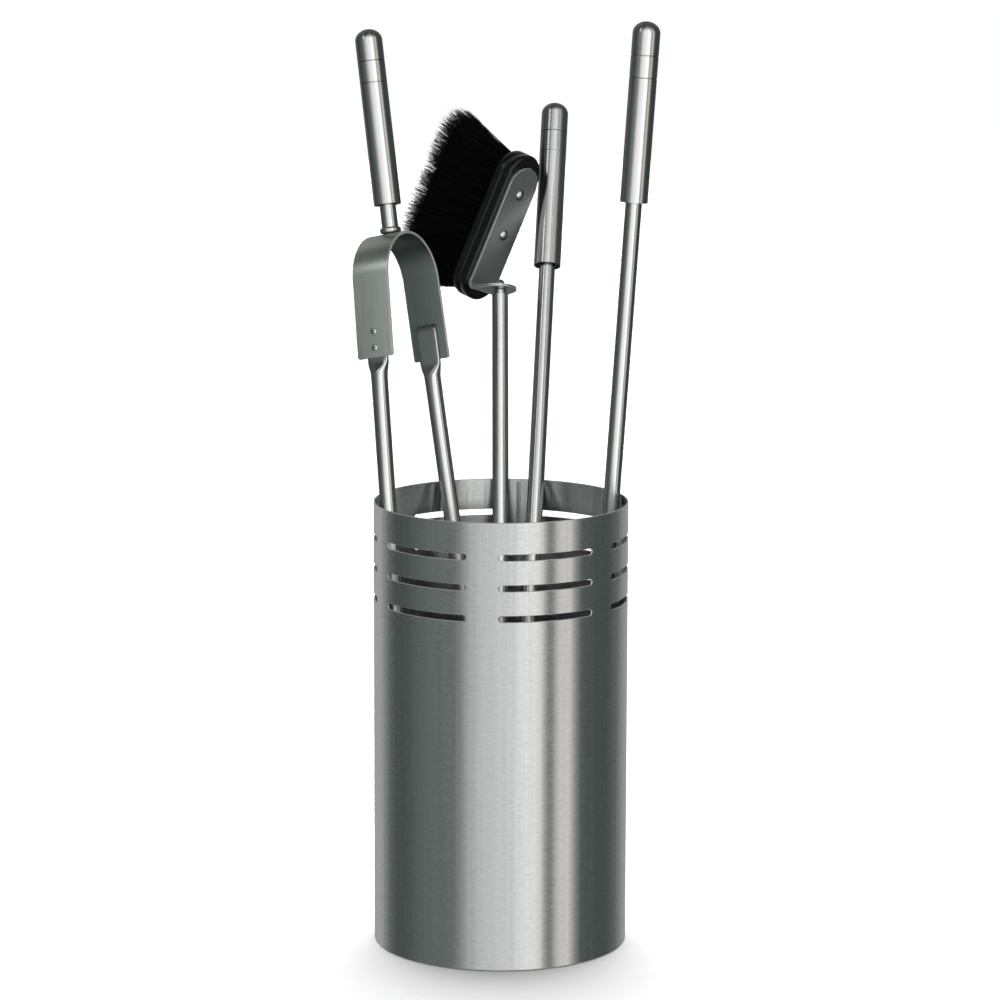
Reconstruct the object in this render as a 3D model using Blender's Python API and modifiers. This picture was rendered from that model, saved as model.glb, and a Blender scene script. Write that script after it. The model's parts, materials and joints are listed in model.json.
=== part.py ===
"""Fireplace tool set: a slotted steel bucket holding a poker, a shovel, a brush and tongs."""

import bpy
import bmesh
from math import cos, pi, radians, sin, tan
from mathutils import Matrix, Vector

OBJECT_NAME = "fireplace_tool_set"
MM = 0.001
GAP = 0.3 * MM
TURN_STEPS = 28

# Bucket: a rolled tube with three rows of slots and a pressed base pan
BUCKET_RADIUS = 92 * MM
BUCKET_HEIGHT = 325 * MM
BUCKET_WALL = 1.2 * MM
BUCKET_SEGMENTS = 108
SLOT_COLUMNS = 6
SLOT_FIRST_ANGLE = radians(21.7 - 90)
SLOT_LENGTH = 73.4 * MM
SLOT_HEIGHT = 4.4 * MM
SLOT_REACH = 18 * MM
SLOT_DEPTHS_BELOW_RIM = (25 * MM, 47 * MM, 69 * MM)
BASE_THICKNESS = 1.5 * MM
BASE_FLANGE = 10 * MM

# Handles and rods: the same on all four tools
ROD_RADIUS = 6 * MM
HANDLE_RADIUS = 10 * MM
HANDLE_LENGTH = 130 * MM
DOME_HEIGHT = 8.4 * MM
DOME_STEPS = 8
CAP_LENGTH = 24 * MM
RING_LENGTH = 16 * MM
GROOVE = 0.5 * MM
GROOVE_CHAMFER = 0.4 * MM
SLEEVE_WALL = 1.2 * MM
BUSH_RECESS = 1.2 * MM
BUSH_LENGTH = 8 * MM
SOCKET_DEPTH = 8 * MM

# Where each tool's axis meets the bucket floor and the level of the rim
SHOVEL_FOOT = Vector((58.6 * MM, 12.5 * MM, 0))
SHOVEL_RIM = Vector((80.7 * MM, 24.5 * MM, BUCKET_HEIGHT))
SHOVEL_LENGTH = 669 * MM
POKER_FOOT = Vector((8.4 * MM, -76 * MM, 0))
POKER_RIM = Vector((26 * MM, 79.2 * MM, BUCKET_HEIGHT))
POKER_LENGTH = 659 * MM
POKER_YAW = radians(-90)
BRUSH_FOOT = Vector((1 * MM, -44 * MM, 0))
BRUSH_RIM = Vector((-0.5 * MM, 83.5 * MM, BUCKET_HEIGHT))
BRUSH_YAW = radians(-40.2)
TONGS_FOOT = Vector((-19.6 * MM, -35 * MM, 0))
TONGS_RIM = Vector((-58.9 * MM, 36.5 * MM, BUCKET_HEIGHT))
TONGS_YAW = radians(61)
TONGS_LENGTH = 676.5 * MM

# Shovel blade, in the shovel's own frame
BLADE_BOTTOM = 5 * MM
BLADE_LENGTH = 116 * MM
BLADE_HALF_WIDTH = 38 * MM
BLADE_SIDE = 11 * MM
BLADE_NECK = 34 * MM
BLADE_THICKNESS = 1.2 * MM
SHOVEL_RIVETS = (129 * MM, 142 * MM)
TANG_HALF_WIDTH = 8.6 * MM
TANG_HALF_THICKNESS = 1.7 * MM
BLADE_FLAT_SHARE = 0.72
BLADE_SIDE_CURVE = 1.6
BLADE_MOUTH_SIDE_SHARE = 0.35
BLADE_TOP_TAPER = 0.9
BLADE_SHOULDER_START = 0.78
BLADE_SHOULDER_RATE = 1.6
BLADE_SHOULDER_CURVE = 1.5
BLADE_SIDE_FADE = 1.3
SHOVEL_TAPER = 26 * MM
SHOVEL_RIVET_RADIUS = 3.2 * MM
SHOVEL_RIVET_HEIGHT = 1.6 * MM

# Poker end
POINT_LENGTH = 42 * MM
POINT_START = 4 * MM
# Share of the point's length down from its top, and of the rod's radius there
POINT_SHAPE = ((0, 1), (0.3, 0.92), (0.75, 0.6), (1, 0.25))
HOOK_HEIGHT = 62 * MM
HOOK_REACH = 30 * MM
HOOK_RISE = 16 * MM
HOOK_RADIUS = 4 * MM
HOOK_TAPER = 0.45
HOOK_STEPS = 10

# Brush head
BRUSH_HANDLE_END = 5 * MM
BRUSH_ROD_TOP = 494.4 * MM
STRIP_WIDTH = 30 * MM
STRIP_THICKNESS = 2.2 * MM
STRIP_COLUMNS = 8
FOOT_LENGTH = 32 * MM
FOOT_TO_ROD = 20.2 * MM
LEG_LENGTH = 100.8 * MM
LEG_LEAN = radians(29)
BEND_RADIUS = 3 * MM
SCREW_PLACES = (79.2 * MM, 47 * MM)
SCREW_RADIUS = 4 * MM
SCREW_HEIGHT = 2 * MM
BLOCK_START = -6.5 * MM
BLOCK_END = 109.5 * MM
BLOCK_HALF_WIDTH = 17.6 * MM
BLOCK_THICKNESS = 15.2 * MM
BLOCK_STEP = 1.1 * MM
# How far in from the block's faces each edge level is, and how far it is drawn in there
BLOCK_EDGE = ((0, 1.6 * MM), (0.5 * MM, 0.5 * MM), (1.6 * MM, 0))
BRISTLE_LENGTH = 66 * MM
BRISTLE_MARGIN = 5 * MM
BRISTLE_SIDE_MARGIN = 4 * MM
BRISTLE_FLARE_DOWN = 25 * MM
BRISTLE_FLARE_UP = 14 * MM
BRISTLE_FLARE_SIDE = 8 * MM
BRISTLE_FLARE_CURVE = 1.2
BRISTLE_TIP_SLANT = 0.1
BRISTLE_LEVELS = 4
COLLAR_NECK = 3 * MM
NECK_RADIUS = ROD_RADIUS * 0.72
BOLT_SHANK = 2.5 * MM
BOLT_HEAD = 4 * MM
BOLT_HEIGHT = 5.5 * MM

# Tongs spring and arms
SPRING_TOP = 525.1 * MM
SPRING_RADIUS = 36.2 * MM
SPRING_LEG = 58.7 * MM
SPRING_THICKNESS = 2.0 * MM
SPLAY_LEFT = radians(5.0)
SPLAY_RIGHT = radians(2.6)
ARM_OVERLAP = 26 * MM
KNEE_DROP = 262 * MM
PAW_TOP_DROP = 442 * MM
PAW_END_DROP = 514 * MM
PAW_END_OFFSET = 37 * MM
PAW_HALF_WIDTH = 8 * MM
PAW_HALF_THICKNESS = 1.5 * MM
COLLAR_HEIGHT = 4.2 * MM
COLLAR_RADIUS = 7.4 * MM
COLLAR_CHAMFER = 1 * MM
COLLAR_BULGE = 0.4 * MM
PAW_END_SLOPE = 0.03
PAW_LAP = 24 * MM
ARM_FLAT_WIDTH = 8.6 * MM
ARM_FLAT_THICKNESS = 1.6 * MM
ARM_TAPER = 24 * MM
ARM_TOP_TAPER = 12 * MM
ARM_FLAT_RUN = 1 * MM
ARM_BENDS = 14
PAW_STEPS = 8
PAW_SWELL = 0.12
RIVET_PLACES = (19 * MM, 7 * MM)
RIVET_RADIUS = 2.3 * MM
RIVET_HEIGHT = 0.7 * MM


def clear_scene():
    for item in list(bpy.data.objects):
        bpy.data.objects.remove(item, do_unlink=True)


def new_collection(name):
    collection = bpy.data.collections.new(name)
    bpy.context.scene.collection.children.link(collection)
    return collection


def metal(name, colour, roughness, metallic=1.0):
    material = bpy.data.materials.new(name)
    material.use_nodes = True
    shader = material.node_tree.nodes["Principled BSDF"]
    shader.inputs["Base Color"].default_value = (*colour, 1)
    shader.inputs["Roughness"].default_value = roughness
    shader.inputs["Metallic"].default_value = metallic
    material.diffuse_color = (*colour, 1)
    return material


def steel(name):
    return metal(name, (0.62, 0.62, 0.60), 0.32)


def black(name, roughness=0.35):
    return metal(name, (0.015, 0.015, 0.015), roughness, 0.0)


def place(name, mesh, collection, parent, material, sharp_angle=35):
    """An object of one mesh, in its parent's own frame."""
    mesh.materials.append(material)
    mesh.shade_smooth()
    mesh.set_sharp_from_angle(angle=radians(sharp_angle))
    item = bpy.data.objects.new(name, mesh)
    collection.objects.link(item)
    item.parent = parent
    return item


def mesh_from(bm, name):
    bmesh.ops.recalc_face_normals(bm, faces=bm.faces)
    mesh = bpy.data.meshes.new(name)
    bm.to_mesh(mesh)
    bm.free()
    return mesh


def tool_frame(name, foot, rim, collection, yaw=0.0):
    """An empty whose Z runs up the tool's axis from the bucket floor."""
    axis = (rim - foot).normalized()
    facing = Vector((cos(yaw), sin(yaw), 0))
    side = (facing - axis * facing.dot(axis)).normalized()
    depth = axis.cross(side)
    empty = bpy.data.objects.new(name, None)
    empty.matrix_world = Matrix.Translation(foot) @ Matrix((side, depth, axis)).transposed().to_4x4()
    collection.objects.link(empty)
    return empty


def turned(name, profile, closed, collection, parent, material):
    """A profile of (radius, height) points, top to bottom down its outer side, turned about Z."""
    bm = bmesh.new()
    corners = [bm.verts.new((radius, 0, height)) for radius, height in profile]
    for upper, lower in zip(corners, corners[1:]):
        bm.edges.new((upper, lower))
    if closed:
        bm.edges.new((corners[-1], corners[0]))
    mesh = bpy.data.meshes.new(name)
    bm.to_mesh(mesh)
    bm.free()
    item = place(name, mesh, collection, parent, material)
    screw = item.modifiers.new("turn", "SCREW")
    screw.steps = TURN_STEPS
    screw.render_steps = TURN_STEPS
    screw.use_merge_vertices = True
    screw.merge_threshold = 0.00001
    screw.use_smooth_shade = True
    return item


def ring(name, inner, outer, bottom, top, chamfer, collection, parent, material):
    profile = [
        (inner, top),
        (outer - chamfer, top),
        (outer, top - chamfer),
        (outer, bottom + chamfer),
        (outer - chamfer, bottom),
        (inner, bottom),
    ]
    return turned(name, profile, True, collection, parent, material)


def rod(name, radius, bottom, top, collection, parent, material):
    profile = [(0, top), (radius, top), (radius, bottom), (0, bottom)]
    return turned(name, profile, False, collection, parent, material)


def handle(tool, bottom, collection, parent, flipped=False):
    """Domed cap, spacer ring, sleeve and two bushes. Flipped puts the dome at the lower end."""
    top = bottom + HANDLE_LENGTH

    def level(drop):
        return bottom + drop if flipped else top - drop

    def ordered(points):
        return list(reversed(points)) if flipped else points

    dome = []
    for step in range(DOME_STEPS + 1):
        angle = step * pi / (2 * DOME_STEPS)
        dome.append((HANDLE_RADIUS * sin(angle), level(DOME_HEIGHT * (1 - cos(angle)))))
    socket = ROD_RADIUS + GAP
    cap = dome + [
        (HANDLE_RADIUS, level(CAP_LENGTH - GROOVE_CHAMFER)),
        (HANDLE_RADIUS - GROOVE_CHAMFER, level(CAP_LENGTH)),
        (socket, level(CAP_LENGTH)),
        (socket, level(CAP_LENGTH - SOCKET_DEPTH)),
        (0, level(CAP_LENGTH - SOCKET_DEPTH)),
    ]
    turned(tool + "_handle_cap", ordered(cap), False, collection, parent, steel(tool + "_cap_steel"))

    spans = {
        "_handle_ring": (CAP_LENGTH + GROOVE, CAP_LENGTH + RING_LENGTH, socket),
        "_handle_sleeve": (CAP_LENGTH + RING_LENGTH + GROOVE, HANDLE_LENGTH, HANDLE_RADIUS - SLEEVE_WALL),
    }
    for suffix, (start, end, inner) in spans.items():
        low, high = sorted((level(start), level(end)))
        finish = steel(tool + suffix + "_steel")
        ring(tool + suffix, inner, HANDLE_RADIUS, low, high, GROOVE_CHAMFER, collection, parent, finish)

    bush_outer = HANDLE_RADIUS - SLEEVE_WALL - GAP
    inner_start = CAP_LENGTH + RING_LENGTH + 2 * GROOVE
    outer_end = HANDLE_LENGTH - BUSH_RECESS
    bushes = {
        "_inner_bush": (inner_start, inner_start + BUSH_LENGTH),
        "_end_bush": (outer_end - BUSH_LENGTH, outer_end),
    }
    for suffix, (start, end) in bushes.items():
        low, high = sorted((level(start), level(end)))
        finish = black(tool + suffix + "_plastic")
        ring(tool + suffix, socket, bush_outer, low, high, GAP, collection, parent, finish)
    return level(CAP_LENGTH - SOCKET_DEPTH + GAP)


def loft(name, stations, collection, parent, material, sides=20):
    """A bar along a path in the XZ plane.

    Each station is (x, z, half width along Y, half thickness, squareness); squareness 2 is an
    ellipse and higher values are flatter.
    """
    bm = bmesh.new()
    loops = []
    for index, (x, z, half_width, half_thickness, squareness) in enumerate(stations):
        before = stations[max(index - 1, 0)]
        after = stations[min(index + 1, len(stations) - 1)]
        along = Vector((after[0] - before[0], 0, after[1] - before[1])).normalized()
        across = Vector((along.z, 0, -along.x))
        loop = []
        for side in range(sides):
            angle = 2 * pi * (side + 0.5) / sides
            power = 2 / squareness
            wide = abs(cos(angle)) ** power * (1 if cos(angle) >= 0 else -1)
            thick = abs(sin(angle)) ** power * (1 if sin(angle) >= 0 else -1)
            spot = Vector((x, half_width * wide, z)) + across * half_thickness * thick
            loop.append(bm.verts.new(spot))
        loops.append(loop)
    for near, far in zip(loops, loops[1:]):
        for side in range(sides):
            following = (side + 1) % sides
            bm.faces.new((near[side], near[following], far[following], far[side]))
    bm.faces.new(loops[0])
    bm.faces.new(loops[-1])
    return place(name, mesh_from(bm, name), collection, parent, material)


def stadium(start, end, half_width, arc_steps=12):
    """Outline of a strip with round ends, along X from start to end."""
    points = []
    for centre, first in ((end - half_width, -pi / 2), (start + half_width, pi / 2)):
        for step in range(arc_steps + 1):
            angle = first + pi * step / arc_steps
            points.append((centre + half_width * cos(angle), half_width * sin(angle)))
    return points


def prism(bm, outline, low, high, matrix):
    """An outline in XY, raised from low to high, added to a mesh through a matrix."""
    below = [bm.verts.new(matrix @ Vector((x, y, low))) for x, y in outline]
    face = bm.faces.new(below)
    raised = bmesh.ops.extrude_face_region(bm, geom=[face])
    lifted = [item for item in raised["geom"] if isinstance(item, bmesh.types.BMVert)]
    shift = matrix.to_3x3() @ Vector((0, 0, high - low))
    bmesh.ops.translate(bm, verts=lifted, vec=shift)


def make_bucket_shell(collection, cutters):
    bm = bmesh.new()
    bmesh.ops.create_cone(
        bm, cap_ends=False, segments=BUCKET_SEGMENTS, radius1=BUCKET_RADIUS, radius2=BUCKET_RADIUS,
        depth=BUCKET_HEIGHT,
    )
    bmesh.ops.translate(bm, verts=bm.verts, vec=(0, 0, BUCKET_HEIGHT / 2))
    finish = metal("bucket_brushed_steel", (0.60, 0.60, 0.58), 0.3)
    shell = place("bucket_shell", mesh_from(bm, "bucket_shell"), collection, None, finish)
    wall = shell.modifiers.new("wall", "SOLIDIFY")
    wall.thickness = BUCKET_WALL
    wall.offset = -1

    cuts = bmesh.new()
    outline = stadium(-SLOT_LENGTH / 2, SLOT_LENGTH / 2, SLOT_HEIGHT / 2, 6)
    upright = Matrix.Rotation(radians(90), 4, "X")
    for column in range(SLOT_COLUMNS):
        angle = SLOT_FIRST_ANGLE + column * 2 * pi / SLOT_COLUMNS
        for depth in SLOT_DEPTHS_BELOW_RIM:
            spin = Matrix.Rotation(angle + radians(90), 4, "Z")
            place_at = Matrix.Translation((0, 0, BUCKET_HEIGHT - depth)) @ spin @ upright
            prism(cuts, outline, BUCKET_RADIUS - SLOT_REACH, BUCKET_RADIUS + SLOT_REACH, place_at)
    cutter = bpy.data.objects.new("slot_cutter", mesh_from(cuts, "slot_cutter"))
    cutters.objects.link(cutter)
    cutter.hide_render = True
    cutter.display_type = "WIRE"
    slots = shell.modifiers.new("slots", "BOOLEAN")
    slots.operation = "DIFFERENCE"
    slots.object = cutter


def make_bucket_base(collection):
    outer = BUCKET_RADIUS - BUCKET_WALL - GAP
    inner = outer - BASE_THICKNESS
    profile = [
        (inner, BASE_FLANGE),
        (outer, BASE_FLANGE),
        (outer, 0),
        (0, 0),
        (0, BASE_THICKNESS),
        (inner, BASE_THICKNESS),
    ]
    item = turned("bucket_base", profile, True, collection, None, steel("base_steel"))
    item.modifiers["turn"].steps = BUCKET_SEGMENTS
    item.modifiers["turn"].render_steps = BUCKET_SEGMENTS


def make_poker(collection):
    frame = tool_frame("poker_axis", POKER_FOOT, POKER_RIM, collection, POKER_YAW)
    rod_top = handle("poker", POKER_LENGTH - HANDLE_LENGTH, collection, frame)
    point_top = POINT_START + POINT_LENGTH
    rod("poker_rod", ROD_RADIUS, point_top + GAP, rod_top, collection, frame, steel("poker_rod_steel"))
    point = [(0, point_top)]
    for down, wide in POINT_SHAPE:
        point.append((ROD_RADIUS * wide, point_top - POINT_LENGTH * down))
    point.append((0, POINT_START))
    turned("poker_point", point, False, collection, frame, steel("poker_point_steel"))
    hook = []
    for step in range(HOOK_STEPS + 1):
        share = step / HOOK_STEPS
        x = ROD_RADIUS + 2 * GAP + HOOK_REACH * sin(share * pi / 2)
        z = HOOK_HEIGHT + HOOK_RISE * (1 - cos(share * pi / 2))
        taper = HOOK_RADIUS * (1 - HOOK_TAPER * share)
        hook.append((x, z, taper, taper, 2))
    loft("poker_hook", hook, collection, frame, steel("poker_hook_steel"), 14)


def blade_height(across, along):
    """How far the blade's sheet stands forward of its flat, at a place on the blade.

    across runs -1 to 1 from side to side and along 0 to 1 from the mouth to the neck.
    """
    side = max(0, (abs(across) - BLADE_FLAT_SHARE) / (1 - BLADE_FLAT_SHARE))
    return BLADE_SIDE * side ** BLADE_SIDE_CURVE * min(1, BLADE_MOUTH_SIDE_SHARE + along)


def make_shovel(collection):
    frame = tool_frame("shovel_axis", SHOVEL_FOOT, SHOVEL_RIM, collection)
    rod_top = handle("shovel", SHOVEL_LENGTH - HANDLE_LENGTH, collection, frame)

    tang_bottom = BLADE_BOTTOM + BLADE_LENGTH
    flat_end = tang_bottom + BLADE_NECK
    tang_x = -BLADE_THICKNESS / 2 - GAP - TANG_HALF_THICKNESS
    stations = [
        (tang_x, tang_bottom + 2 * MM, TANG_HALF_WIDTH, TANG_HALF_THICKNESS, 5),
        (tang_x, flat_end, TANG_HALF_WIDTH, TANG_HALF_THICKNESS, 5),
    ]
    round_start = flat_end + SHOVEL_TAPER
    for step in range(1, 5):
        share = step / 4
        ease = share * share * (3 - 2 * share)
        stations.append((
            tang_x * (1 - ease),
            flat_end + (round_start - flat_end) * share,
            TANG_HALF_WIDTH + (ROD_RADIUS - TANG_HALF_WIDTH) * ease,
            TANG_HALF_THICKNESS + (ROD_RADIUS - TANG_HALF_THICKNESS) * ease,
            5 - 3 * ease,
        ))
    stations.append((0, rod_top, ROD_RADIUS, ROD_RADIUS, 2))
    loft("shovel_rod", stations, collection, frame, steel("shovel_rod_steel"), 32)

    bm = bmesh.new()
    bmesh.ops.create_grid(bm, x_segments=14, y_segments=16, size=1)
    for vert in bm.verts:
        across, along = vert.co.x, (vert.co.y + 1) / 2
        neck = max(0, (along - BLADE_SHOULDER_START) / (1 - BLADE_SHOULDER_START))
        half = BLADE_HALF_WIDTH * (BLADE_TOP_TAPER + (1 - BLADE_TOP_TAPER) * (1 - along))
        half += (TANG_HALF_WIDTH - half) * min(1, neck * BLADE_SHOULDER_RATE) ** BLADE_SHOULDER_CURVE
        total = BLADE_LENGTH + BLADE_NECK
        rise = blade_height(across, min(1, along / BLADE_SHOULDER_START))
        rise *= 1 - min(1, neck * BLADE_SIDE_FADE)
        vert.co = Vector((-rise, across * half, BLADE_BOTTOM + total * along))
    blade = place("shovel_blade", mesh_from(bm, "shovel_blade"), collection, frame, steel("blade_steel"))
    sheet = blade.modifiers.new("sheet", "SOLIDIFY")
    sheet.thickness = BLADE_THICKNESS
    sheet.offset = 0

    rivet_x = tang_x - TANG_HALF_THICKNESS - GAP
    for number, height in enumerate(SHOVEL_RIVETS, 1):
        dome_head("shovel_rivet_%d" % number, SHOVEL_RIVET_RADIUS, SHOVEL_RIVET_HEIGHT,
                  (rivet_x, 0, height), (-1, 0, 0), collection, frame)


def dome_head(name, radius, height, place_at, direction, collection, parent):
    """A low domed fastener head sitting on a surface and facing a direction."""
    profile = []
    for step in range(7):
        angle = step * pi / 12
        profile.append((radius * sin(angle), height * cos(angle)))
    profile.append((0, 0))
    item = turned(name, profile, False, collection, parent, steel(name + "_steel"))
    item.modifiers["turn"].steps = 24
    item.modifiers["turn"].render_steps = 24
    item.rotation_mode = "QUATERNION"
    item.rotation_quaternion = Vector(direction).to_track_quat("Z", "Y")
    item.location = place_at
    return item


def bent_strip(name, path, straight_ends, width, thickness, collection, parent, material):
    """A strip bent along a path of (x, z) points in the XZ plane.

    straight_ends says, for the path's start and end, how long its straight part is when that end
    is a half circle, or 0 when the end is cut square.
    """
    columns = STRIP_COLUMNS
    distances = [0.0]
    for before, after in zip(path, path[1:]):
        distances.append(distances[-1] + (Vector(after) - Vector(before)).length)
    total = distances[-1]

    def spot(distance):
        index = 0
        while index < len(path) - 2 and distances[index + 1] < distance:
            index += 1
        share = (distance - distances[index]) / (distances[index + 1] - distances[index])
        return Vector(path[index]).lerp(Vector(path[index + 1]), share)

    start_run, end_run = straight_ends
    bm = bmesh.new()
    rows = []
    for distance in distances:
        row = []
        for column in range(columns + 1):
            y = -width / 2 * cos(pi * column / columns)
            inset = width / 2 * (1 - sin(pi * column / columns))
            moved = distance
            if start_run and distance < start_run:
                moved = inset + distance * (start_run - inset) / start_run
            if end_run and distance > total - end_run:
                left = total - distance
                moved = total - inset - left * (end_run - inset) / end_run
            place_at = spot(moved)
            row.append(bm.verts.new((place_at.x, y, place_at.y)))
        rows.append(row)
    for near, far in zip(rows, rows[1:]):
        for column in range(columns):
            bm.faces.new((near[column], near[column + 1], far[column + 1], far[column]))
    item = place(name, mesh_from(bm, name), collection, parent, material)
    sheet = item.modifiers.new("sheet", "SOLIDIFY")
    sheet.thickness = thickness
    sheet.offset = 0
    return item


def evenly(start, end, steps):
    return [Vector(start).lerp(Vector(end), step / steps) for step in range(steps + 1)]


def leg_direction():
    return Vector((sin(LEG_LEAN), 0, cos(LEG_LEAN)))


def leg_outward():
    return Vector((-cos(LEG_LEAN), 0, sin(LEG_LEAN)))


def leg_frame():
    """X up the bracket's leg, Z out of the leg's back, from the bend."""
    along = leg_direction()
    outward = leg_outward()
    across = outward.cross(along)
    matrix = Matrix((along, across, outward)).transposed().to_4x4()
    bend = Vector((-FOOT_TO_ROD, 0, BRUSH_ROD_TOP + GAP + STRIP_THICKNESS / 2))
    return Matrix.Translation(bend) @ matrix


def make_bracket(collection, frame):
    """The brush's bent strip, from the foot's tip round the bend to the leg's top."""
    radius = BEND_RADIUS + STRIP_THICKNESS / 2
    inside = pi / 2 - LEG_LEAN
    reach = radius / tan(inside / 2)
    level = BRUSH_ROD_TOP + GAP + STRIP_THICKNESS / 2
    foot_start = (FOOT_LENGTH - FOOT_TO_ROD, level)
    foot_end = (reach - FOOT_TO_ROD, level)
    path = evenly(foot_start, foot_end, 4)
    bend_steps = 8
    for step in range(1, bend_steps + 1):
        angle = -pi / 2 - (pi - inside) * step / bend_steps
        path.append(Vector((foot_end[0] + radius * cos(angle), level + radius + radius * sin(angle))))
    up = leg_direction()
    leg_end = Vector((-FOOT_TO_ROD, level)) + Vector((up.x, up.z)) * LEG_LENGTH
    leg_start = path[-1]
    path += evenly(leg_start, leg_end, 6)[1:]
    ends = ((path[0] - path[4]).length, (leg_end - leg_start).length)
    bent_strip("brush_bracket", path, ends, STRIP_WIDTH, STRIP_THICKNESS, collection, frame,
               steel("bracket_steel"))


def stacked(name, levels, collection, parent, material):
    """Round-ended outlines in XY, one on another, each (height, start, end, half width, slant)."""
    bm = bmesh.new()
    loops = []
    for height, start, end, half_width, slant in levels:
        middle = (start + end) / 2
        outline = stadium(start, end, half_width)
        loops.append([bm.verts.new((x, y, height + slant * (middle - x))) for x, y in outline])
    for low, high in zip(loops, loops[1:]):
        for index, corner in enumerate(low):
            following = (index + 1) % len(low)
            bm.faces.new((corner, low[following], high[following], high[index]))
    bm.faces.new(loops[0])
    bm.faces.new(loops[-1])
    return place(name, mesh_from(bm, name), collection, parent, material)


def make_brush(collection):
    frame = tool_frame("brush_axis", BRUSH_FOOT, BRUSH_RIM, collection, BRUSH_YAW)
    rod_bottom = handle("brush", BRUSH_HANDLE_END, collection, frame, flipped=True)
    rod_top = BRUSH_ROD_TOP - COLLAR_NECK - GAP
    rod("brush_rod", ROD_RADIUS, rod_bottom, rod_top, collection, frame, steel("brush_rod_steel"))
    ring("brush_collar", BOLT_SHANK + GAP, NECK_RADIUS, rod_top + GAP, BRUSH_ROD_TOP, GAP,
         collection, frame, steel("brush_collar_steel"))
    make_bracket(collection, frame)
    above_foot = BRUSH_ROD_TOP + 2 * GAP + STRIP_THICKNESS
    dome_head("brush_bolt", BOLT_HEAD, BOLT_HEIGHT, (0, 0, above_foot), (0, 0, 1), collection, frame)

    leg = leg_frame()
    leg_empty = bpy.data.objects.new("brush_leg_axis", None)
    leg_empty.matrix_basis = leg
    leg_empty.parent = frame
    collection.objects.link(leg_empty)
    face = -STRIP_THICKNESS / 2 - GAP
    for label, along in (("upper", SCREW_PLACES[0]), ("lower", SCREW_PLACES[1])):
        dome_head("brush_screw_" + label, SCREW_RADIUS, SCREW_HEIGHT, (along, 0, face),
                  (0, 0, -1), collection, leg_empty)

    front = STRIP_THICKNESS / 2 + GAP
    back = front + BLOCK_THICKNESS
    middle = (front + back) / 2
    heights = [(front + depth, inset) for depth, inset in BLOCK_EDGE]
    heights += [(middle - BLOCK_STEP, 0), (middle, BLOCK_STEP), (middle + BLOCK_STEP, 0)]
    heights += [(back - depth, inset) for depth, inset in reversed(BLOCK_EDGE)]
    levels = []
    for height, inset in heights:
        levels.append((height, BLOCK_START + inset, BLOCK_END - inset, BLOCK_HALF_WIDTH - inset, 0))
    stacked("brush_block", levels, collection, leg_empty, black("block_lacquer", 0.2))

    root = back + GAP
    tuft = []
    for step in range(BRISTLE_LEVELS + 1):
        share = step / BRISTLE_LEVELS
        spread = share ** BRISTLE_FLARE_CURVE
        tuft.append((
            root + BRISTLE_LENGTH * share,
            BLOCK_START + BRISTLE_MARGIN - BRISTLE_FLARE_DOWN * spread,
            BLOCK_END - BRISTLE_MARGIN + BRISTLE_FLARE_UP * spread,
            BLOCK_HALF_WIDTH - BRISTLE_SIDE_MARGIN + BRISTLE_FLARE_SIDE * spread,
            BRISTLE_TIP_SLANT * share,
        ))
    stacked("brush_bristles", tuft, collection, leg_empty, black("bristle_black", 0.6))


def spring_path():
    """Middle line of the tongs' spring, from the left leg's end over the top to the right's."""
    radius = SPRING_RADIUS - SPRING_THICKNESS / 2
    centre = SPRING_TOP - SPRING_RADIUS
    sweep_start = -(pi / 2 - SPLAY_LEFT)
    sweep_end = pi / 2 - SPLAY_RIGHT
    steps = 28
    arch = []
    for step in range(steps + 1):
        angle = sweep_start + (sweep_end - sweep_start) * step / steps
        arch.append(Vector((radius * sin(angle), centre + radius * cos(angle))))
    left_end = arch[0] + Vector((-sin(SPLAY_LEFT), -cos(SPLAY_LEFT))) * SPRING_LEG
    right_end = arch[-1] + Vector((sin(SPLAY_RIGHT), -cos(SPLAY_RIGHT))) * SPRING_LEG
    return evenly(left_end, arch[0], 4)[:-1] + arch + evenly(arch[-1], right_end, 4)[1:]


def arm_offset(drop, knee_offset, slope):
    """Distance from the tongs' axis at a drop below the spring's top, past the knee."""
    run = PAW_END_DROP - KNEE_DROP
    share = (drop - KNEE_DROP) / run
    square, cube = share * share, share ** 3
    return (
        (2 * cube - 3 * square + 1) * knee_offset
        + (cube - 2 * square + share) * slope * run
        + (3 * square - 2 * cube) * PAW_END_OFFSET
        + (cube - square) * PAW_END_SLOPE * run
    )


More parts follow.
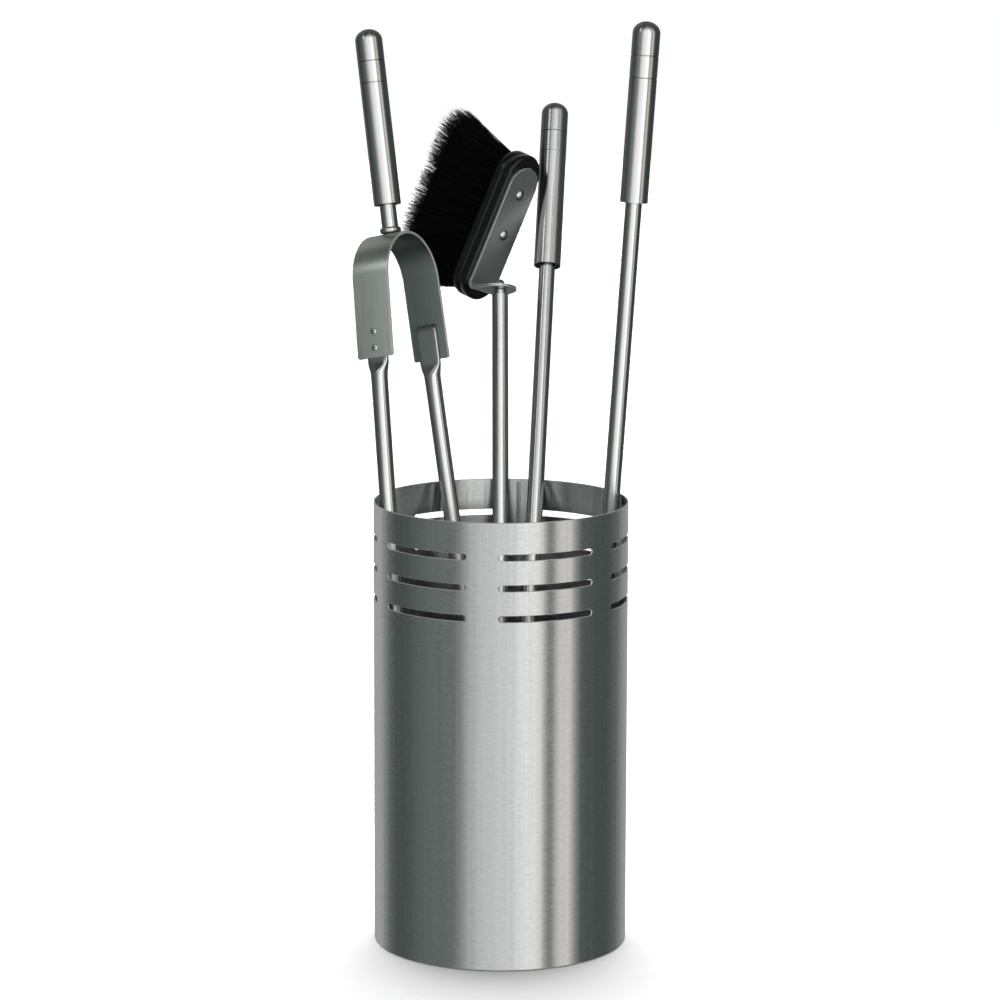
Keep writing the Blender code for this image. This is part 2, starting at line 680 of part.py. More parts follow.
def make_arm(label, side, splay, leg_end, collection, frame):
    """One arm of the tongs with its rivets and paw. side is -1 on the left and 1 on the right."""
    down = Vector((side * sin(splay), -cos(splay)))
    inward = Vector((-side * cos(splay), -sin(splay)))
    line = leg_end + inward * (SPRING_THICKNESS / 2 + GAP + ARM_FLAT_THICKNESS)
    flat = (ARM_FLAT_WIDTH, ARM_FLAT_THICKNESS, 5)
    stations = [(*(line - down * ARM_OVERLAP), *flat), (*(line + down * ARM_FLAT_RUN), *flat)]
    for step in range(1, 6):
        share = step / 5
        ease = share * share * (3 - 2 * share)
        centre = line + down * (ARM_FLAT_RUN + ARM_TOP_TAPER * share)
        stations.append((
            *centre,
            ARM_FLAT_WIDTH + (ROD_RADIUS - ARM_FLAT_WIDTH) * ease,
            ARM_FLAT_THICKNESS + (ROD_RADIUS - ARM_FLAT_THICKNESS) * ease,
            5 - 3 * ease,
        ))
    knee_z = SPRING_TOP - KNEE_DROP
    slope = tan(splay)
    knee_offset = side * (line.x + down.x * (line.y - knee_z) / cos(splay))
    arm_end = PAW_TOP_DROP + PAW_LAP
    for step in range(ARM_BENDS + 1):
        drop = KNEE_DROP + (arm_end - KNEE_DROP) * step / ARM_BENDS
        ease = min(1, max(0, (drop - PAW_TOP_DROP + ARM_TAPER) / ARM_TAPER))
        stations.append((
            side * arm_offset(drop, knee_offset, slope),
            SPRING_TOP - drop,
            ROD_RADIUS + (PAW_HALF_WIDTH - ROD_RADIUS) * ease,
            ROD_RADIUS + (ARM_FLAT_THICKNESS - ROD_RADIUS) * ease,
            2 + 3 * ease,
        ))
    loft("tongs_%s_arm" % label, stations, collection, frame, steel("tongs_%s_arm_steel" % label), 24)

    shift = ARM_FLAT_THICKNESS + 3 * GAP + PAW_HALF_THICKNESS
    paw = []
    for step in range(PAW_STEPS + 1):
        drop = PAW_TOP_DROP + (PAW_END_DROP - PAW_TOP_DROP) * step / PAW_STEPS
        offset = arm_offset(drop, knee_offset, slope) - shift
        width = PAW_HALF_WIDTH * (1 + PAW_SWELL * sin(pi * step / PAW_STEPS))
        paw.append((side * offset, SPRING_TOP - drop, width, PAW_HALF_THICKNESS, 6))
    loft("tongs_%s_paw" % label, paw, collection, frame, steel("tongs_%s_paw_steel" % label), 16)

    surface = leg_end - inward * (SPRING_THICKNESS / 2 + GAP)
    for place_name, up in (("upper", RIVET_PLACES[0]), ("lower", RIVET_PLACES[1])):
        spot = surface - down * up
        dome_head("tongs_%s_rivet_%s" % (label, place_name), RIVET_RADIUS, RIVET_HEIGHT,
                  (spot.x, 0, spot.y), (-inward.x, 0, -inward.y), collection, frame)


def make_tongs(collection):
    frame = tool_frame("tongs_axis", TONGS_FOOT, TONGS_RIM, collection, TONGS_YAW)
    rod_top = handle("tongs", TONGS_LENGTH - HANDLE_LENGTH, collection, frame)
    seat = SPRING_TOP + GAP
    rod("tongs_neck", ROD_RADIUS, seat, rod_top, collection, frame, steel("tongs_neck_steel"))
    bore = ROD_RADIUS + GAP
    collar = [
        (bore, seat + COLLAR_HEIGHT),
        (COLLAR_RADIUS - COLLAR_CHAMFER, seat + COLLAR_HEIGHT),
        (COLLAR_RADIUS, seat + COLLAR_HEIGHT - COLLAR_CHAMFER),
        (COLLAR_RADIUS + COLLAR_BULGE, seat + COLLAR_HEIGHT / 4),
        (COLLAR_RADIUS, seat),
        (bore, seat),
    ]
    turned("tongs_collar", collar, True, collection, frame, steel("tongs_collar_steel"))
    path = spring_path()
    bent_strip("tongs_spring", path, (0, 0), STRIP_WIDTH, SPRING_THICKNESS, collection, frame,
               steel("spring_steel"))
    under = SPRING_TOP - SPRING_THICKNESS - 2 * GAP
    dome_head("tongs_nut", BOLT_HEAD, BOLT_HEAD, (0, 0, under), (0, 0, -1), collection, frame)
    make_arm("left", -1, SPLAY_LEFT, path[0], collection, frame)
    make_arm("right", 1, SPLAY_RIGHT, path[-1], collection, frame)


def main():
    clear_scene()
    collection = new_collection(OBJECT_NAME)
    cutters = new_collection("cutters")
    make_bucket_shell(collection, cutters)
    make_bucket_base(collection)
    make_poker(collection)
    make_shovel(collection)
    make_brush(collection)
    make_tongs(collection)


main()
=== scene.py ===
import json
import random
from math import cos, pi, radians, sin, sqrt, tan

import bmesh
import bpy
from mathutils import Matrix, Vector
from mathutils.geometry import delaunay_2d_cdt


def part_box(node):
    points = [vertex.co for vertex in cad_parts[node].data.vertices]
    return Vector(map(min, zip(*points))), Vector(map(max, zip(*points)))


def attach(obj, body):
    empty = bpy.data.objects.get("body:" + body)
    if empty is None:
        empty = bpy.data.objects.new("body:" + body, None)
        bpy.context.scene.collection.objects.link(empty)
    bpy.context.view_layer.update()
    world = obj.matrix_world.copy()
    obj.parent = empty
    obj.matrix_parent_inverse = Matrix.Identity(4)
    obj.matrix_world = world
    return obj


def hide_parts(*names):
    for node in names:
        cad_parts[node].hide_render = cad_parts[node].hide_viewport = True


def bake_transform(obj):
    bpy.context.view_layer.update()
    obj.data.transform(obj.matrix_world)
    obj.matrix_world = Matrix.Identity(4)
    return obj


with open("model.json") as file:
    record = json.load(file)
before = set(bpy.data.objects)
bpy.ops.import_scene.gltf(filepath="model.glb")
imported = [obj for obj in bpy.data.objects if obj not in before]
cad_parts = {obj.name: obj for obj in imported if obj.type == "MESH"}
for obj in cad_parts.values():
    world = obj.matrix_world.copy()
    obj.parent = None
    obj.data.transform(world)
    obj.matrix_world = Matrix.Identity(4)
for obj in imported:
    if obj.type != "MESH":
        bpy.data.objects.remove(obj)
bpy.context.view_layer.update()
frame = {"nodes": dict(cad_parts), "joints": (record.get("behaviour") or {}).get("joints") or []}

MM = 0.001
CLEARANCE = 0.3 * MM

# Bucket
BUCKET_COLUMNS = 240
BUCKET_WALL = 1.2 * MM
EDGE = 0.35 * MM
WALL_ROWS = (EDGE, 0.05, 0.1, 0.15, 0.2, 0.235, 0.245, 0.267, 0.289, 0.31)
SLOT_COLUMNS = 6
SLOT_FIRST_ANGLE = radians(21.7 - 90)
SLOT_LENGTH = 73.4 * MM
SLOT_HEIGHT = 4.4 * MM
SLOT_DEPTHS_BELOW_RIM = (25 * MM, 47 * MM, 69 * MM)
SLOT_END_STEPS = 10
SLOT_SIDE_STEPS = 24
SLOT_MARGIN_TURN = 0.008
SLOT_MARGIN_HEIGHT = 0.4 * MM
INSIDE_TILT = Vector((0, 0, 0.2))
INSIDE_TILT_DEPTH = 21 * MM
PAN_THICKNESS = 1.5 * MM
PAN_EDGE = 0.5 * MM
SEAM_ANGLE = radians(81.7)
SEAM_HALF_WIDTH = 1.7 * MM
SEAM_HEIGHT = 0.35 * MM
SEAM_BOTTOM = 12 * MM
SEAM_BELOW_RIM = 2 * MM
SEAM_COLUMNS = 6
SEAM_ROWS = 150

# Turned pieces. FILLET_SHARE and FLAT_SHARE are of a side's length, FLAT_REACH of the fillet's reach.
FILLET_SHARE = 0.4
FLAT_SHARE = 0.48
FLAT_REACH = 1.6
TURN_STEPS = 96
ROD_FILLET = 0.25 * MM
DOME_HEIGHT = 8.4 * MM
DOME_STEPS = 20
SOCKET_DEPTH = 8 * MM
SOCKET_IN_BUSH = 2.2 * MM
SLEEVE_WALL = 1.2 * MM
HANDLE_FILLET = 0.2 * MM
GROOVE = 0.46 * MM
GROOVE_DEPTH = 0.55 * MM
HEAD_STEPS = 12
HEAD_DOME = 0.93
HEAD_FILLET = 0.12 * MM

# Tongs, in their own frame
SPRING_RADIUS = 36.2 * MM
SPRING_LEG = 58.7 * MM
SPRING_THICKNESS = 2.0 * MM
SPRING_WIDTH = 30 * MM
SPRING_EDGE = 0.3 * MM
SPLAYS = {"left": radians(5.0), "right": radians(2.6)}
STRIP_CORNER = 1.6 * MM
CORNER_STEPS = 8
ARCH_STEPS = 72
LEG_STEPS = 24
BEAD_ROUND = 1.6 * MM
BEAD_STEPS = 8
BEAD_LIP = 0.4 * MM

# Brush and shovel
BRACKET_EDGE = 0.55 * MM
THIN_EDGE = 0.2 * MM
BLOCK_EDGE = 2.2 * MM
BLOCK_GROOVE = 1.1 * MM
BLOCK_STEPS = 6
BRISTLE_COUNT = 9000
BRISTLE_RADIUS = 0.2 * MM
BRISTLE_TAPER = 0.4
BRISTLE_LENGTH = 67.5 * MM
BRISTLE_SHORTEST = 0.92
BRISTLE_JOINTS = 6
BRISTLE_MARGIN = 5 * MM
BRISTLE_SIDE_MARGIN = 4 * MM
BRISTLE_FLARE_DOWN = 25 * MM
BRISTLE_FLARE_UP = 16.5 * MM
BRISTLE_FLARE_SIDE = 7 * MM
BRISTLE_FLARE_CURVE = 1.2
BRISTLE_LEAN = 0.7 * MM
BRISTLE_CURL = 0.6 * MM
TUFT_SPACING = 6.2 * MM
TUFT_GATHER = 0.35
TUFT_OPENING = 2.5
LOW_CORNER_WEAR = 0.5
LOW_CORNER_SHARE = 0.42
CLUMP_RATE = 2600
CLUMP_PULL = 1.0 * MM
CORE_SHARE = 0.8
CORE_PULL_IN = 1.3
CORE_MARGIN = 1.5 * MM
CORE_STEPS = 6

# Camera
CAMERA_PLACE = Vector((0, -2.9394, 0.85025))
CAMERA_PITCH = 0.1768
CAMERA_ROLL = -0.0025
CAMERA_YAW = 0.0007
CAMERA_LENS = 148.88
CAMERA_SENSOR = 36

# Room. A panel is a bearing in degrees from the front, positive to the right, and the grey there.
PANELS = (
    (-180, 0.34), (-152, 0.46), (-138, 0.46), (-122, 0.17), (-108, 0.10), (-92, 0.125), (-72, 0.20),
    (-52, 0.20), (-42, 0.24), (-34, 0.46), (-28, 0.68), (-14, 0.84), (2, 0.98), (12, 1.0), (18, 1.22),
    (36, 1.26), (40.5, 0.62), (44, 0.22), (48, 0.24), (52, 0.80), (65, 1.02), (71, 0.46), (78, 0.14),
    (92, 0.12), (104, 0.10), (118, 0.11), (132, 0.18), (146, 0.36), (158, 0.40), (180, 0.34),
)
WARMEST_BEARING = 52
WARM_SPREAD = 22
WARMTH = 0.05
COOLEST_GREY = 0.4
COOLNESS = 0.085
# Height of a direction, from -1 straight down to 1 straight up, and the panels' share there
HEIGHTS = (
    (-1, 0.25), (-0.65, 0.35), (-0.42, 0.95), (0.3, 1.0), (0.56, 1.0), (0.7, 0.9), (0.82, 0.5), (1.0, 0.2),
)
ROOM_LIGHT = 7.0
ROOM_LIGHT_CURVE = 3
# Name, place, size, energy, and whether the metal mirrors it
LIGHTS = (
    ("overhead", (0.3, -0.9, 2.6), 2.2, 4, False),
    ("side_window", (-1.9, -1.15, 2.3), 0.75, 3.4, True),
)
LIGHT_AIM = Vector((0, 0, 0.4))
FLOOR_LEVEL = -0.5 * MM
FLOOR_HALF = 6


# ---------------------------------------------------------------- places read from the frame

def centre(node):
    low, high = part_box(node)
    return (low + high) / 2


def corners(node):
    return [vertex.co.copy() for vertex in frame["nodes"][node].data.vertices]


def tool_space(tool, towards):
    """The tool's own frame: Z up its axis from the floor, X towards a direction."""
    ring = centre(tool + "_handle_ring")
    sleeve = centre(tool + "_handle_sleeve")
    axis = (ring - sleeve).normalized()
    if axis.z < 0:
        axis.negate()
    foot = sleeve - axis * sleeve.z / axis.z
    side = (towards - axis * towards.dot(axis)).normalized()
    return Matrix.Translation(foot) @ Matrix((side, axis.cross(side), axis)).transposed().to_4x4()


def spans(node, space):
    """Lowest and highest point of a node along a frame's Z, and its largest radius about it."""
    local = [space.inverted() @ corner for corner in corners(node)]
    heights = [point.z for point in local]
    radius = max(point.xy.length for point in local)
    return min(heights), max(heights), radius


def find_spaces():
    hinge = [joint for joint in frame["joints"] if joint["name"] == "tongs_squeeze"][0]
    axis = -Vector(hinge["axis"])
    up = (centre("tongs_handle_ring") - centre("tongs_handle_sleeve")).normalized()
    leg = centre("brush_screw_upper") - centre("brush_screw_lower")
    blade = centre("shovel_handle_sleeve") - centre("shovel_rivet_1")
    hook = centre("poker_hook") - centre("poker_point")
    return {
        "tongs": tool_space("tongs", axis.cross(up)),
        "brush": tool_space("brush", leg),
        "shovel": tool_space("shovel", Vector((blade.x, 0, 0))),
        "poker": tool_space("poker", hook),
    }


# ---------------------------------------------------------------- materials

class Nodes:
    """A node tree, built a node at a time."""

    def __init__(self, tree):
        self.tree = tree

    def add(self, kind, **values):
        node = self.tree.nodes.new(kind)
        for key, value in values.items():
            setattr(node, key, value)
        return node

    def link(self, source, target):
        self.tree.links.new(source, target)

    def math(self, operation, first, second=None):
        node = self.add("ShaderNodeMath", operation=operation)
        for socket, value in zip(node.inputs, (first, second)):
            if hasattr(value, "is_linked"):
                self.link(value, socket)
            elif value is not None:
                socket.default_value = value
        return node.outputs[0]

    def noise(self, vector, scale, detail=2.0, roughness=0.5):
        node = self.add("ShaderNodeTexNoise")
        node.inputs["Scale"].default_value = scale
        node.inputs["Detail"].default_value = detail
        node.inputs["Roughness"].default_value = roughness
        self.link(vector, node.inputs["Vector"])
        return node.outputs["Fac"]

    def remap(self, value, low, high, from_low=0.3, from_high=0.7):
        """A value moved to another range. A noise mostly stays between 0.3 and 0.7."""
        node = self.add("ShaderNodeMapRange")
        node.inputs["From Min"].default_value = from_low
        node.inputs["From Max"].default_value = from_high
        node.inputs["To Min"].default_value = low
        node.inputs["To Max"].default_value = high
        self.link(value, node.inputs["Value"])
        return node.outputs["Result"]

    def ramp(self, value, stops):
        node = self.add("ShaderNodeValToRGB")
        elements = node.color_ramp.elements
        while len(elements) < len(stops):
            elements.new(0.5)
        for element, (place, colour) in zip(elements, stops):
            element.position = place
            element.color = (*colour, 1)
        self.link(value, node.inputs["Fac"])
        return node.outputs["Color"]

    def multiplied(self, first, second):
        """The product of two colours."""
        node = self.add("ShaderNodeMix", data_type="RGBA", blend_type="MULTIPLY")
        node.inputs["Factor"].default_value = 1
        colours = [socket for socket in node.inputs if socket.type == "RGBA"]
        self.link(first, colours[0])
        self.link(second, colours[1])
        return [socket for socket in node.outputs if socket.type == "RGBA"][0]

    def stretched(self, scales):
        coordinates = self.add("ShaderNodeTexCoord").outputs["Object"]
        mapping = self.add("ShaderNodeMapping")
        mapping.inputs["Scale"].default_value = scales
        self.link(coordinates, mapping.inputs["Vector"])
        return mapping.outputs["Vector"]

    def along_strip(self, across_scale, length_scale):
        """Coordinates across and along a bent strip, from its "strip" map."""
        place = self.add("ShaderNodeUVMap", uv_map="strip").outputs["UV"]
        mapping = self.add("ShaderNodeMapping")
        mapping.inputs["Scale"].default_value = (across_scale, length_scale, 1)
        self.link(place, mapping.inputs["Vector"])
        return mapping.outputs["Vector"]

    def around(self, turn_scale, rise_scale):
        """Coordinates that wrap round the object's Z: turn about it, and height."""
        coordinates = self.add("ShaderNodeTexCoord").outputs["Object"]
        parts = self.add("ShaderNodeSeparateXYZ")
        self.link(coordinates, parts.inputs[0])
        radius = self.math("SQRT", self.math(
            "ADD", self.math("MULTIPLY", parts.outputs["X"], parts.outputs["X"]),
            self.math("MULTIPLY", parts.outputs["Y"], parts.outputs["Y"]),
        ))
        joined = self.add("ShaderNodeCombineXYZ")
        across = self.math("DIVIDE", parts.outputs["X"], radius)
        deep = self.math("DIVIDE", parts.outputs["Y"], radius)
        self.link(self.math("MULTIPLY", across, turn_scale), joined.inputs["X"])
        self.link(self.math("MULTIPLY", deep, turn_scale), joined.inputs["Y"])
        self.link(self.math("MULTIPLY", parts.outputs["Z"], rise_scale), joined.inputs["Z"])
        return joined.outputs["Vector"]


class Surface(Nodes):
    """A material's nodes, with its shader."""

    def __init__(self, name):
        self.material = bpy.data.materials.new(name)
        self.material.use_nodes = True
        super().__init__(self.material.node_tree)
        self.shader = self.tree.nodes["Principled BSDF"]

    def bump(self, value, distance, strength):
        node = self.add("ShaderNodeBump")
        node.inputs["Distance"].default_value = distance
        node.inputs["Strength"].default_value = strength
        self.link(value, node.inputs["Height"])
        self.link(node.outputs["Normal"], self.shader.inputs["Normal"])


def brushed_steel(name, grain, colour, roughness, anisotropy=0.0, turn=0.25, tangent=None, depth=0.01,
                  streaks=0, rim=1.0, contrast=0.1, painted_edge_shade=()):
    """Steel with a grain.

    grain(nodes) gives the coordinates that the scratches are drawn in, and depth is theirs in mm.
    streaks is how closely broad streaks follow one another round the object's Z, rim the colour left
    at the very edge, a painted shade there when below 1, and painted_edge_shade lists how far the surface has
    turned away from the view and the colour's share there, a painted shade that darkens the sides.
    """
    nodes = Surface(name)
    shader = nodes.shader
    shader.inputs["Metallic"].default_value = 1.0
    shader.inputs["Anisotropic"].default_value = anisotropy
    shader.inputs["Anisotropic Rotation"].default_value = turn
    # A rim below 1 darkens the metal at its edges: painted shade.
    shader.inputs["Specular Tint"].default_value = (rim, rim, rim, 1)
    vector = grain(nodes)
    scratches = nodes.noise(vector, 1.0, 3.0, 0.6)
    cloud = nodes.noise(nodes.stretched((14, 14, 14)), 1.0, 2.0)
    nodes.link(nodes.remap(scratches, roughness * 0.9, roughness * 1.1), shader.inputs["Roughness"])
    broad = nodes.noise(nodes.around(streaks, 2), 1.0, 3.0, 0.7) if streaks else cloud
    tone = nodes.math("ADD", nodes.remap(scratches, 0.0, 0.55), nodes.remap(broad, 0.0, 0.45))
    dark = [part * (1 - contrast) for part in colour]
    light = [min(1, part * (1 + contrast * 0.9)) for part in colour]
    shade = nodes.ramp(tone, ((0.0, dark), (1.0, light)))
    # Painted shade: the colour darkens where the surface turns away from the view, on a bar's sides and a
    # head's rim.
    if painted_edge_shade:
        away = nodes.add("ShaderNodeLayerWeight")
        away.inputs["Blend"].default_value = 0.5
        left = nodes.ramp(away.outputs["Facing"], [(place, (share,) * 3) for place, share in painted_edge_shade])
        shade = nodes.multiplied(shade, left)
    nodes.link(shade, shader.inputs["Base Color"])
    nodes.bump(scratches, depth * MM, 0.5)
    if tangent:
        direction = nodes.add("ShaderNodeTangent", **tangent)
        nodes.link(direction.outputs[0], shader.inputs["Tangent"])
    return nodes.material


def plastic(name, colour, roughness, grain_scale, depth, gloss=0.5):
    """A mottled plain surface."""
    nodes = Surface(name)
    shader = nodes.shader
    shader.inputs["Specular IOR Level"].default_value = gloss
    grain = nodes.noise(nodes.stretched((grain_scale,) * 3), 1.0, 3.0)
    low = [part * 0.75 for part in colour]
    high = [part * 1.35 for part in colour]
    nodes.link(nodes.ramp(grain, ((0.3, low), (0.7, high))), shader.inputs["Base Color"])
    nodes.link(nodes.remap(grain, roughness * 0.85, roughness * 1.15), shader.inputs["Roughness"])
    nodes.bump(grain, depth * MM, 0.6)
    return nodes.material


def hair_material():
    """Black bristle, dull at the root and pale at the tip, from split ends and partly a painted glint."""
    nodes = Surface("bristle_hair")
    shader = nodes.shader
    shader.inputs["Specular IOR Level"].default_value = 0.09
    tip = nodes.add("ShaderNodeAttribute", attribute_name="tip").outputs["Fac"]
    # The pale tip is partly real split ends and partly a painted glint.
    stops = ((0.0, (0.003,) * 3), (0.93, (0.006,) * 3), (1.0, (0.06, 0.061, 0.063)))
    nodes.link(nodes.ramp(tip, stops), shader.inputs["Base Color"])
    gloss = nodes.noise(nodes.stretched((400, 400, 400)), 1.0)
    nodes.link(nodes.remap(gloss, 0.38, 0.6), shader.inputs["Roughness"])
    return nodes.material


def make_materials():
    steel = (0.655, 0.662, 0.662)
    inside_steel = (0.66, 0.68, 0.672)
    pale = (0.93, 0.935, 0.93)
    strip = (0.74, 0.765, 0.75)
    bracket = (0.56, 0.585, 0.575)
    spring = (0.66, 0.7, 0.66)
    # Painted shade: the strip's inner face is the same steel, given a darker colour.
    spring_inner_shaded = (0.31, 0.36, 0.35)
    radial = {"direction_type": "RADIAL", "axis": "Z"}
    wall = {"anisotropy": 0.97, "tangent": radial, "streaks": 26}
    # Turned bars get painted shade on their sides: a dark edge tint, and a colour that darkens as the surface
    # turns away.
    turned_bar = {
        "tangent": radial, "rim": 0.3,
        "painted_edge_shade": ((0.0, 1.0), (0.05, 0.96), (0.13, 0.62), (0.2, 0.48), (0.6, 0.44)),
    }
    bent_strip = {
        "tangent": {"direction_type": "UV_MAP", "uv_map": "strip"}, "anisotropy": 0.85, "turn": 0.0,
    }
    # Painted shade: a dark ring round each head's rim.
    head_painted_edge_shade = ((0.0, 1.0), (0.1, 0.9), (0.3, 0.35), (0.6, 0.2))
    return {
        "bucket": brushed_steel("bucket_brushed", lambda n: n.around(20, 620), steel, 0.24,
                                depth=0.005, contrast=0.18, **wall),
        "inside": brushed_steel("bucket_inside", lambda n: n.around(20, 620), inside_steel, 0.3,
                                depth=0.0015, contrast=0.2, **wall),
        # Cut edges and chamfers: a rougher finish, and a colour lighter than the sheet that paints a
        # highlight along each edge.
        "cut": brushed_steel("cut_edge_painted_highlight", lambda n: n.stretched((500,) * 3), (0.9, 0.9, 0.89), 0.6),
        "base": brushed_steel("base_brushed", lambda n: n.stretched((60,) * 3), steel, 0.4),
        "handle": brushed_steel("handle_satin", lambda n: n.around(5, 160), pale, 0.24,
                                anisotropy=0.9, depth=0.0004, contrast=0.08, **turned_bar),
        "rod": brushed_steel("rod_satin", lambda n: n.around(9, 60), pale, 0.22,
                             anisotropy=0.85, depth=0.0005, **turned_bar),
        "strip": brushed_steel("strip_rolled", lambda n: n.stretched((900, 900, 12)), strip, 0.34,
                               turn=0.0, depth=0.004),
        "bracket": brushed_steel("bracket_rolled", lambda n: n.stretched((700, 700, 60)), bracket, 0.34,
                                 turn=0.0, depth=0.006),
        "spring": brushed_steel("spring_rolled", lambda n: n.along_strip(900, 22), spring, 0.4,
                                depth=0.006, contrast=0.14, **bent_strip),
        "spring_inner_shaded": brushed_steel("spring_inner_shaded_face", lambda n: n.along_strip(900, 22), spring_inner_shaded,
                                      0.4, depth=0.004, contrast=0.12, **bent_strip),
        "fastener": brushed_steel("plated_head", lambda n: n.stretched((300,) * 3), (0.93, 0.935, 0.95),
                                  0.14, turn=0.0, depth=0.001, contrast=0.05, painted_edge_shade=head_painted_edge_shade),
        "weld": brushed_steel("weld_bead", lambda n: n.stretched((200, 200, 500)), (0.8, 0.79, 0.77),
                              0.5, turn=0.0, depth=0.04),
        "bush": plastic("bush_moulded", (0.02, 0.02, 0.021), 0.5, 900, 0.01),
        "lacquer": plastic("block_lacquered", (0.002,) * 3, 0.24, 60, 0.005),
        "core": plastic("bristle_shadow", (0.003,) * 3, 0.8, 300, 0.1, gloss=0.0),
        "hair": hair_material(),
    }


# ---------------------------------------------------------------- pieces

def add_piece(name, mesh, body, material, space=None, replaced=()):
    """An object of a finished mesh, in a space, that moves with a body and stands for CAD nodes."""
    if not mesh.materials:
        mesh.materials.append(material)
    item = bpy.data.objects.new(name, mesh)
    bpy.context.scene.collection.objects.link(item)
    if space:
        item.matrix_world = space
    if body:
        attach(item, body)
    if replaced:
        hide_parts(*replaced)
    return item


def finished(bm, name, sharp_angle=None):
    mesh = bpy.data.meshes.new(name)
    bm.to_mesh(mesh)
    bm.free()
    mesh.shade_smooth()
    if sharp_angle:
        mesh.set_sharp_from_angle(angle=radians(sharp_angle))
    return mesh


def rounded(points, radius, steps=3):
    """A profile with each inner corner rounded by up to a radius, and a point on each flat beside it."""
    result = [points[0]]
    for before, corner, after in zip(points, points[1:], points[2:]):
        corner = Vector(corner)
        to_before = Vector(before) - corner
        to_after = Vector(after) - corner
        turn = to_before.angle(to_after)
        if turn > radians(160) or corner.x <= 0:
            result.append(tuple(corner))
            continue
        longest = (to_before.length * FILLET_SHARE, to_after.length * FILLET_SHARE)
        reach = min(radius / tan(turn / 2), *longest)
        start = corner + to_before.normalized() * reach
        end = corner + to_after.normalized() * reach
        flat_before = min(reach * FLAT_REACH, to_before.length * FLAT_SHARE)
        flat_after = min(reach * FLAT_REACH, to_after.length * FLAT_SHARE)
        result.append(tuple(corner + to_before.normalized() * flat_before))
        for step in range(steps + 1):
            share = step / steps
            spot = start * (1 - share) ** 2 + corner * 2 * share * (1 - share) + end * share ** 2
            result.append(tuple(spot))
        result.append(tuple(corner + to_after.normalized() * flat_after))
    result.append(points[-1])
    return result


def bridge(bm, rings):
    """Faces between each ring of vertices and the next."""
    for near, far in zip(rings, rings[1:]):
        for i in range(len(near)):
            j = (i + 1) % len(near)
            bm.faces.new((near[i], near[j], far[j], far[i]))


def lathe(name, profile, steps=TURN_STEPS):
    """A profile of (radius, height) turned about Z. It is closed when it starts and ends off the axis."""
    closed = profile[0][0] > 0
    bm = bmesh.new()
    loops = []
    for radius, height in profile:
        if radius <= 0:
            loops.append([bm.verts.new((0, 0, height))])
            continue
        loops.append([
            bm.verts.new((radius * cos(2 * pi * s / steps), radius * sin(2 * pi * s / steps), height))
            for s in range(steps)
        ])
    pairs = list(zip(loops, loops[1:]))
    if closed:
        pairs.append((loops[-1], loops[0]))
    for upper, lower in pairs:
        for s in range(steps):
            t = (s + 1) % steps
            corners_here = [upper[s % len(upper)], lower[s % len(lower)], lower[t % len(lower)],
                            upper[t % len(upper)]]
            unique = list(dict.fromkeys(corners_here))
            if len(unique) > 2:
                bm.faces.new(unique)
    bmesh.ops.recalc_face_normals(bm, faces=bm.faces)
    return finished(bm, name, 50)


def turned(name, profile, space, body, material, replaced, fillet=ROD_FILLET, steps=TURN_STEPS):
    """A piece turned from a profile with its corners rounded."""
    return add_piece(name, lathe(name, rounded(profile, fillet), steps), body, material, space,
                     replaced)


def make_handle(tool, space, body, materials):
    """The grip's cap, ring and sleeve, at the levels of their CAD nodes."""
    low, high, radius = spans(tool + "_handle_cap", space)
    sleeve_low, sleeve_high, _ = spans(tool + "_handle_sleeve", space)
    up = 1 if low > sleeve_low else -1
    tip, rim = (high, low) if up > 0 else (low, high)
    bore = spans(tool + "_inner_bush", space)[2] - SOCKET_IN_BUSH
    cap = []
    for step in range(DOME_STEPS + 1):
        angle = step * pi / (2 * DOME_STEPS)
        cap.append((radius * sin(angle), tip - up * DOME_HEIGHT * (1 - cos(angle))))
    cap += [(radius, rim), (bore, rim), (bore, rim + up * SOCKET_DEPTH), (0, rim + up * SOCKET_DEPTH)]

    ring_low, ring_high, _ = spans(tool + "_handle_ring", space)
    waist = radius - GROOVE_DEPTH
    ring = [(bore, ring_high + GROOVE), (waist, ring_high + GROOVE), (waist, ring_high), (radius, ring_high),
            (radius, ring_low), (waist, ring_low), (waist, ring_low - GROOVE), (bore, ring_low - GROOVE)]

    inner = radius - SLEEVE_WALL
    middle = (inner + radius) / 2
    sleeve = [(middle, sleeve_high), (radius, sleeve_high), (radius, sleeve_low), (middle, sleeve_low),
              (inner, sleeve_low), (inner, sleeve_high)]
    for part, profile in (("cap", cap), ("ring", ring), ("sleeve", sleeve)):
        turned(tool + "_" + part, profile, space, body, materials["handle"],
               [tool + "_handle_" + part], HANDLE_FILLET)


def plain_rod(name, node, space, body, materials):
    low, high, radius = spans(node, space)
    profile = [(0, high), (radius, high), (radius, low), (0, low)]
    turned(name, profile, space, body, materials["rod"], [node])


def dome_screw(name, node, space, body, materials, flange=0.18, steps=48):
    """A domed head with a thin flat flange under it, facing along its space's Z."""
    low, high, radius = spans(node, space)
    height = high - low
    rim = low + height * flange
    profile = []
    for step in range(HEAD_STEPS):
        angle = step * pi / (2 * HEAD_STEPS)
        profile.append((radius * HEAD_DOME * sin(angle), rim + (high - rim) * cos(angle)))
    profile += [(radius, rim), (radius, low), (0, low)]
    return turned(name, profile, space, body, materials["fastener"], [node],
                  HEAD_FILLET, steps)


def facing_space(node, direction, up):
    """A frame at a head's middle whose Z faces a direction."""
    forward = direction.normalized()
    side = (up - forward * up.dot(forward)).normalized()
    turn = Matrix((side, forward.cross(side), forward)).transposed().to_4x4()
    return Matrix.Translation(centre(node)) @ turn


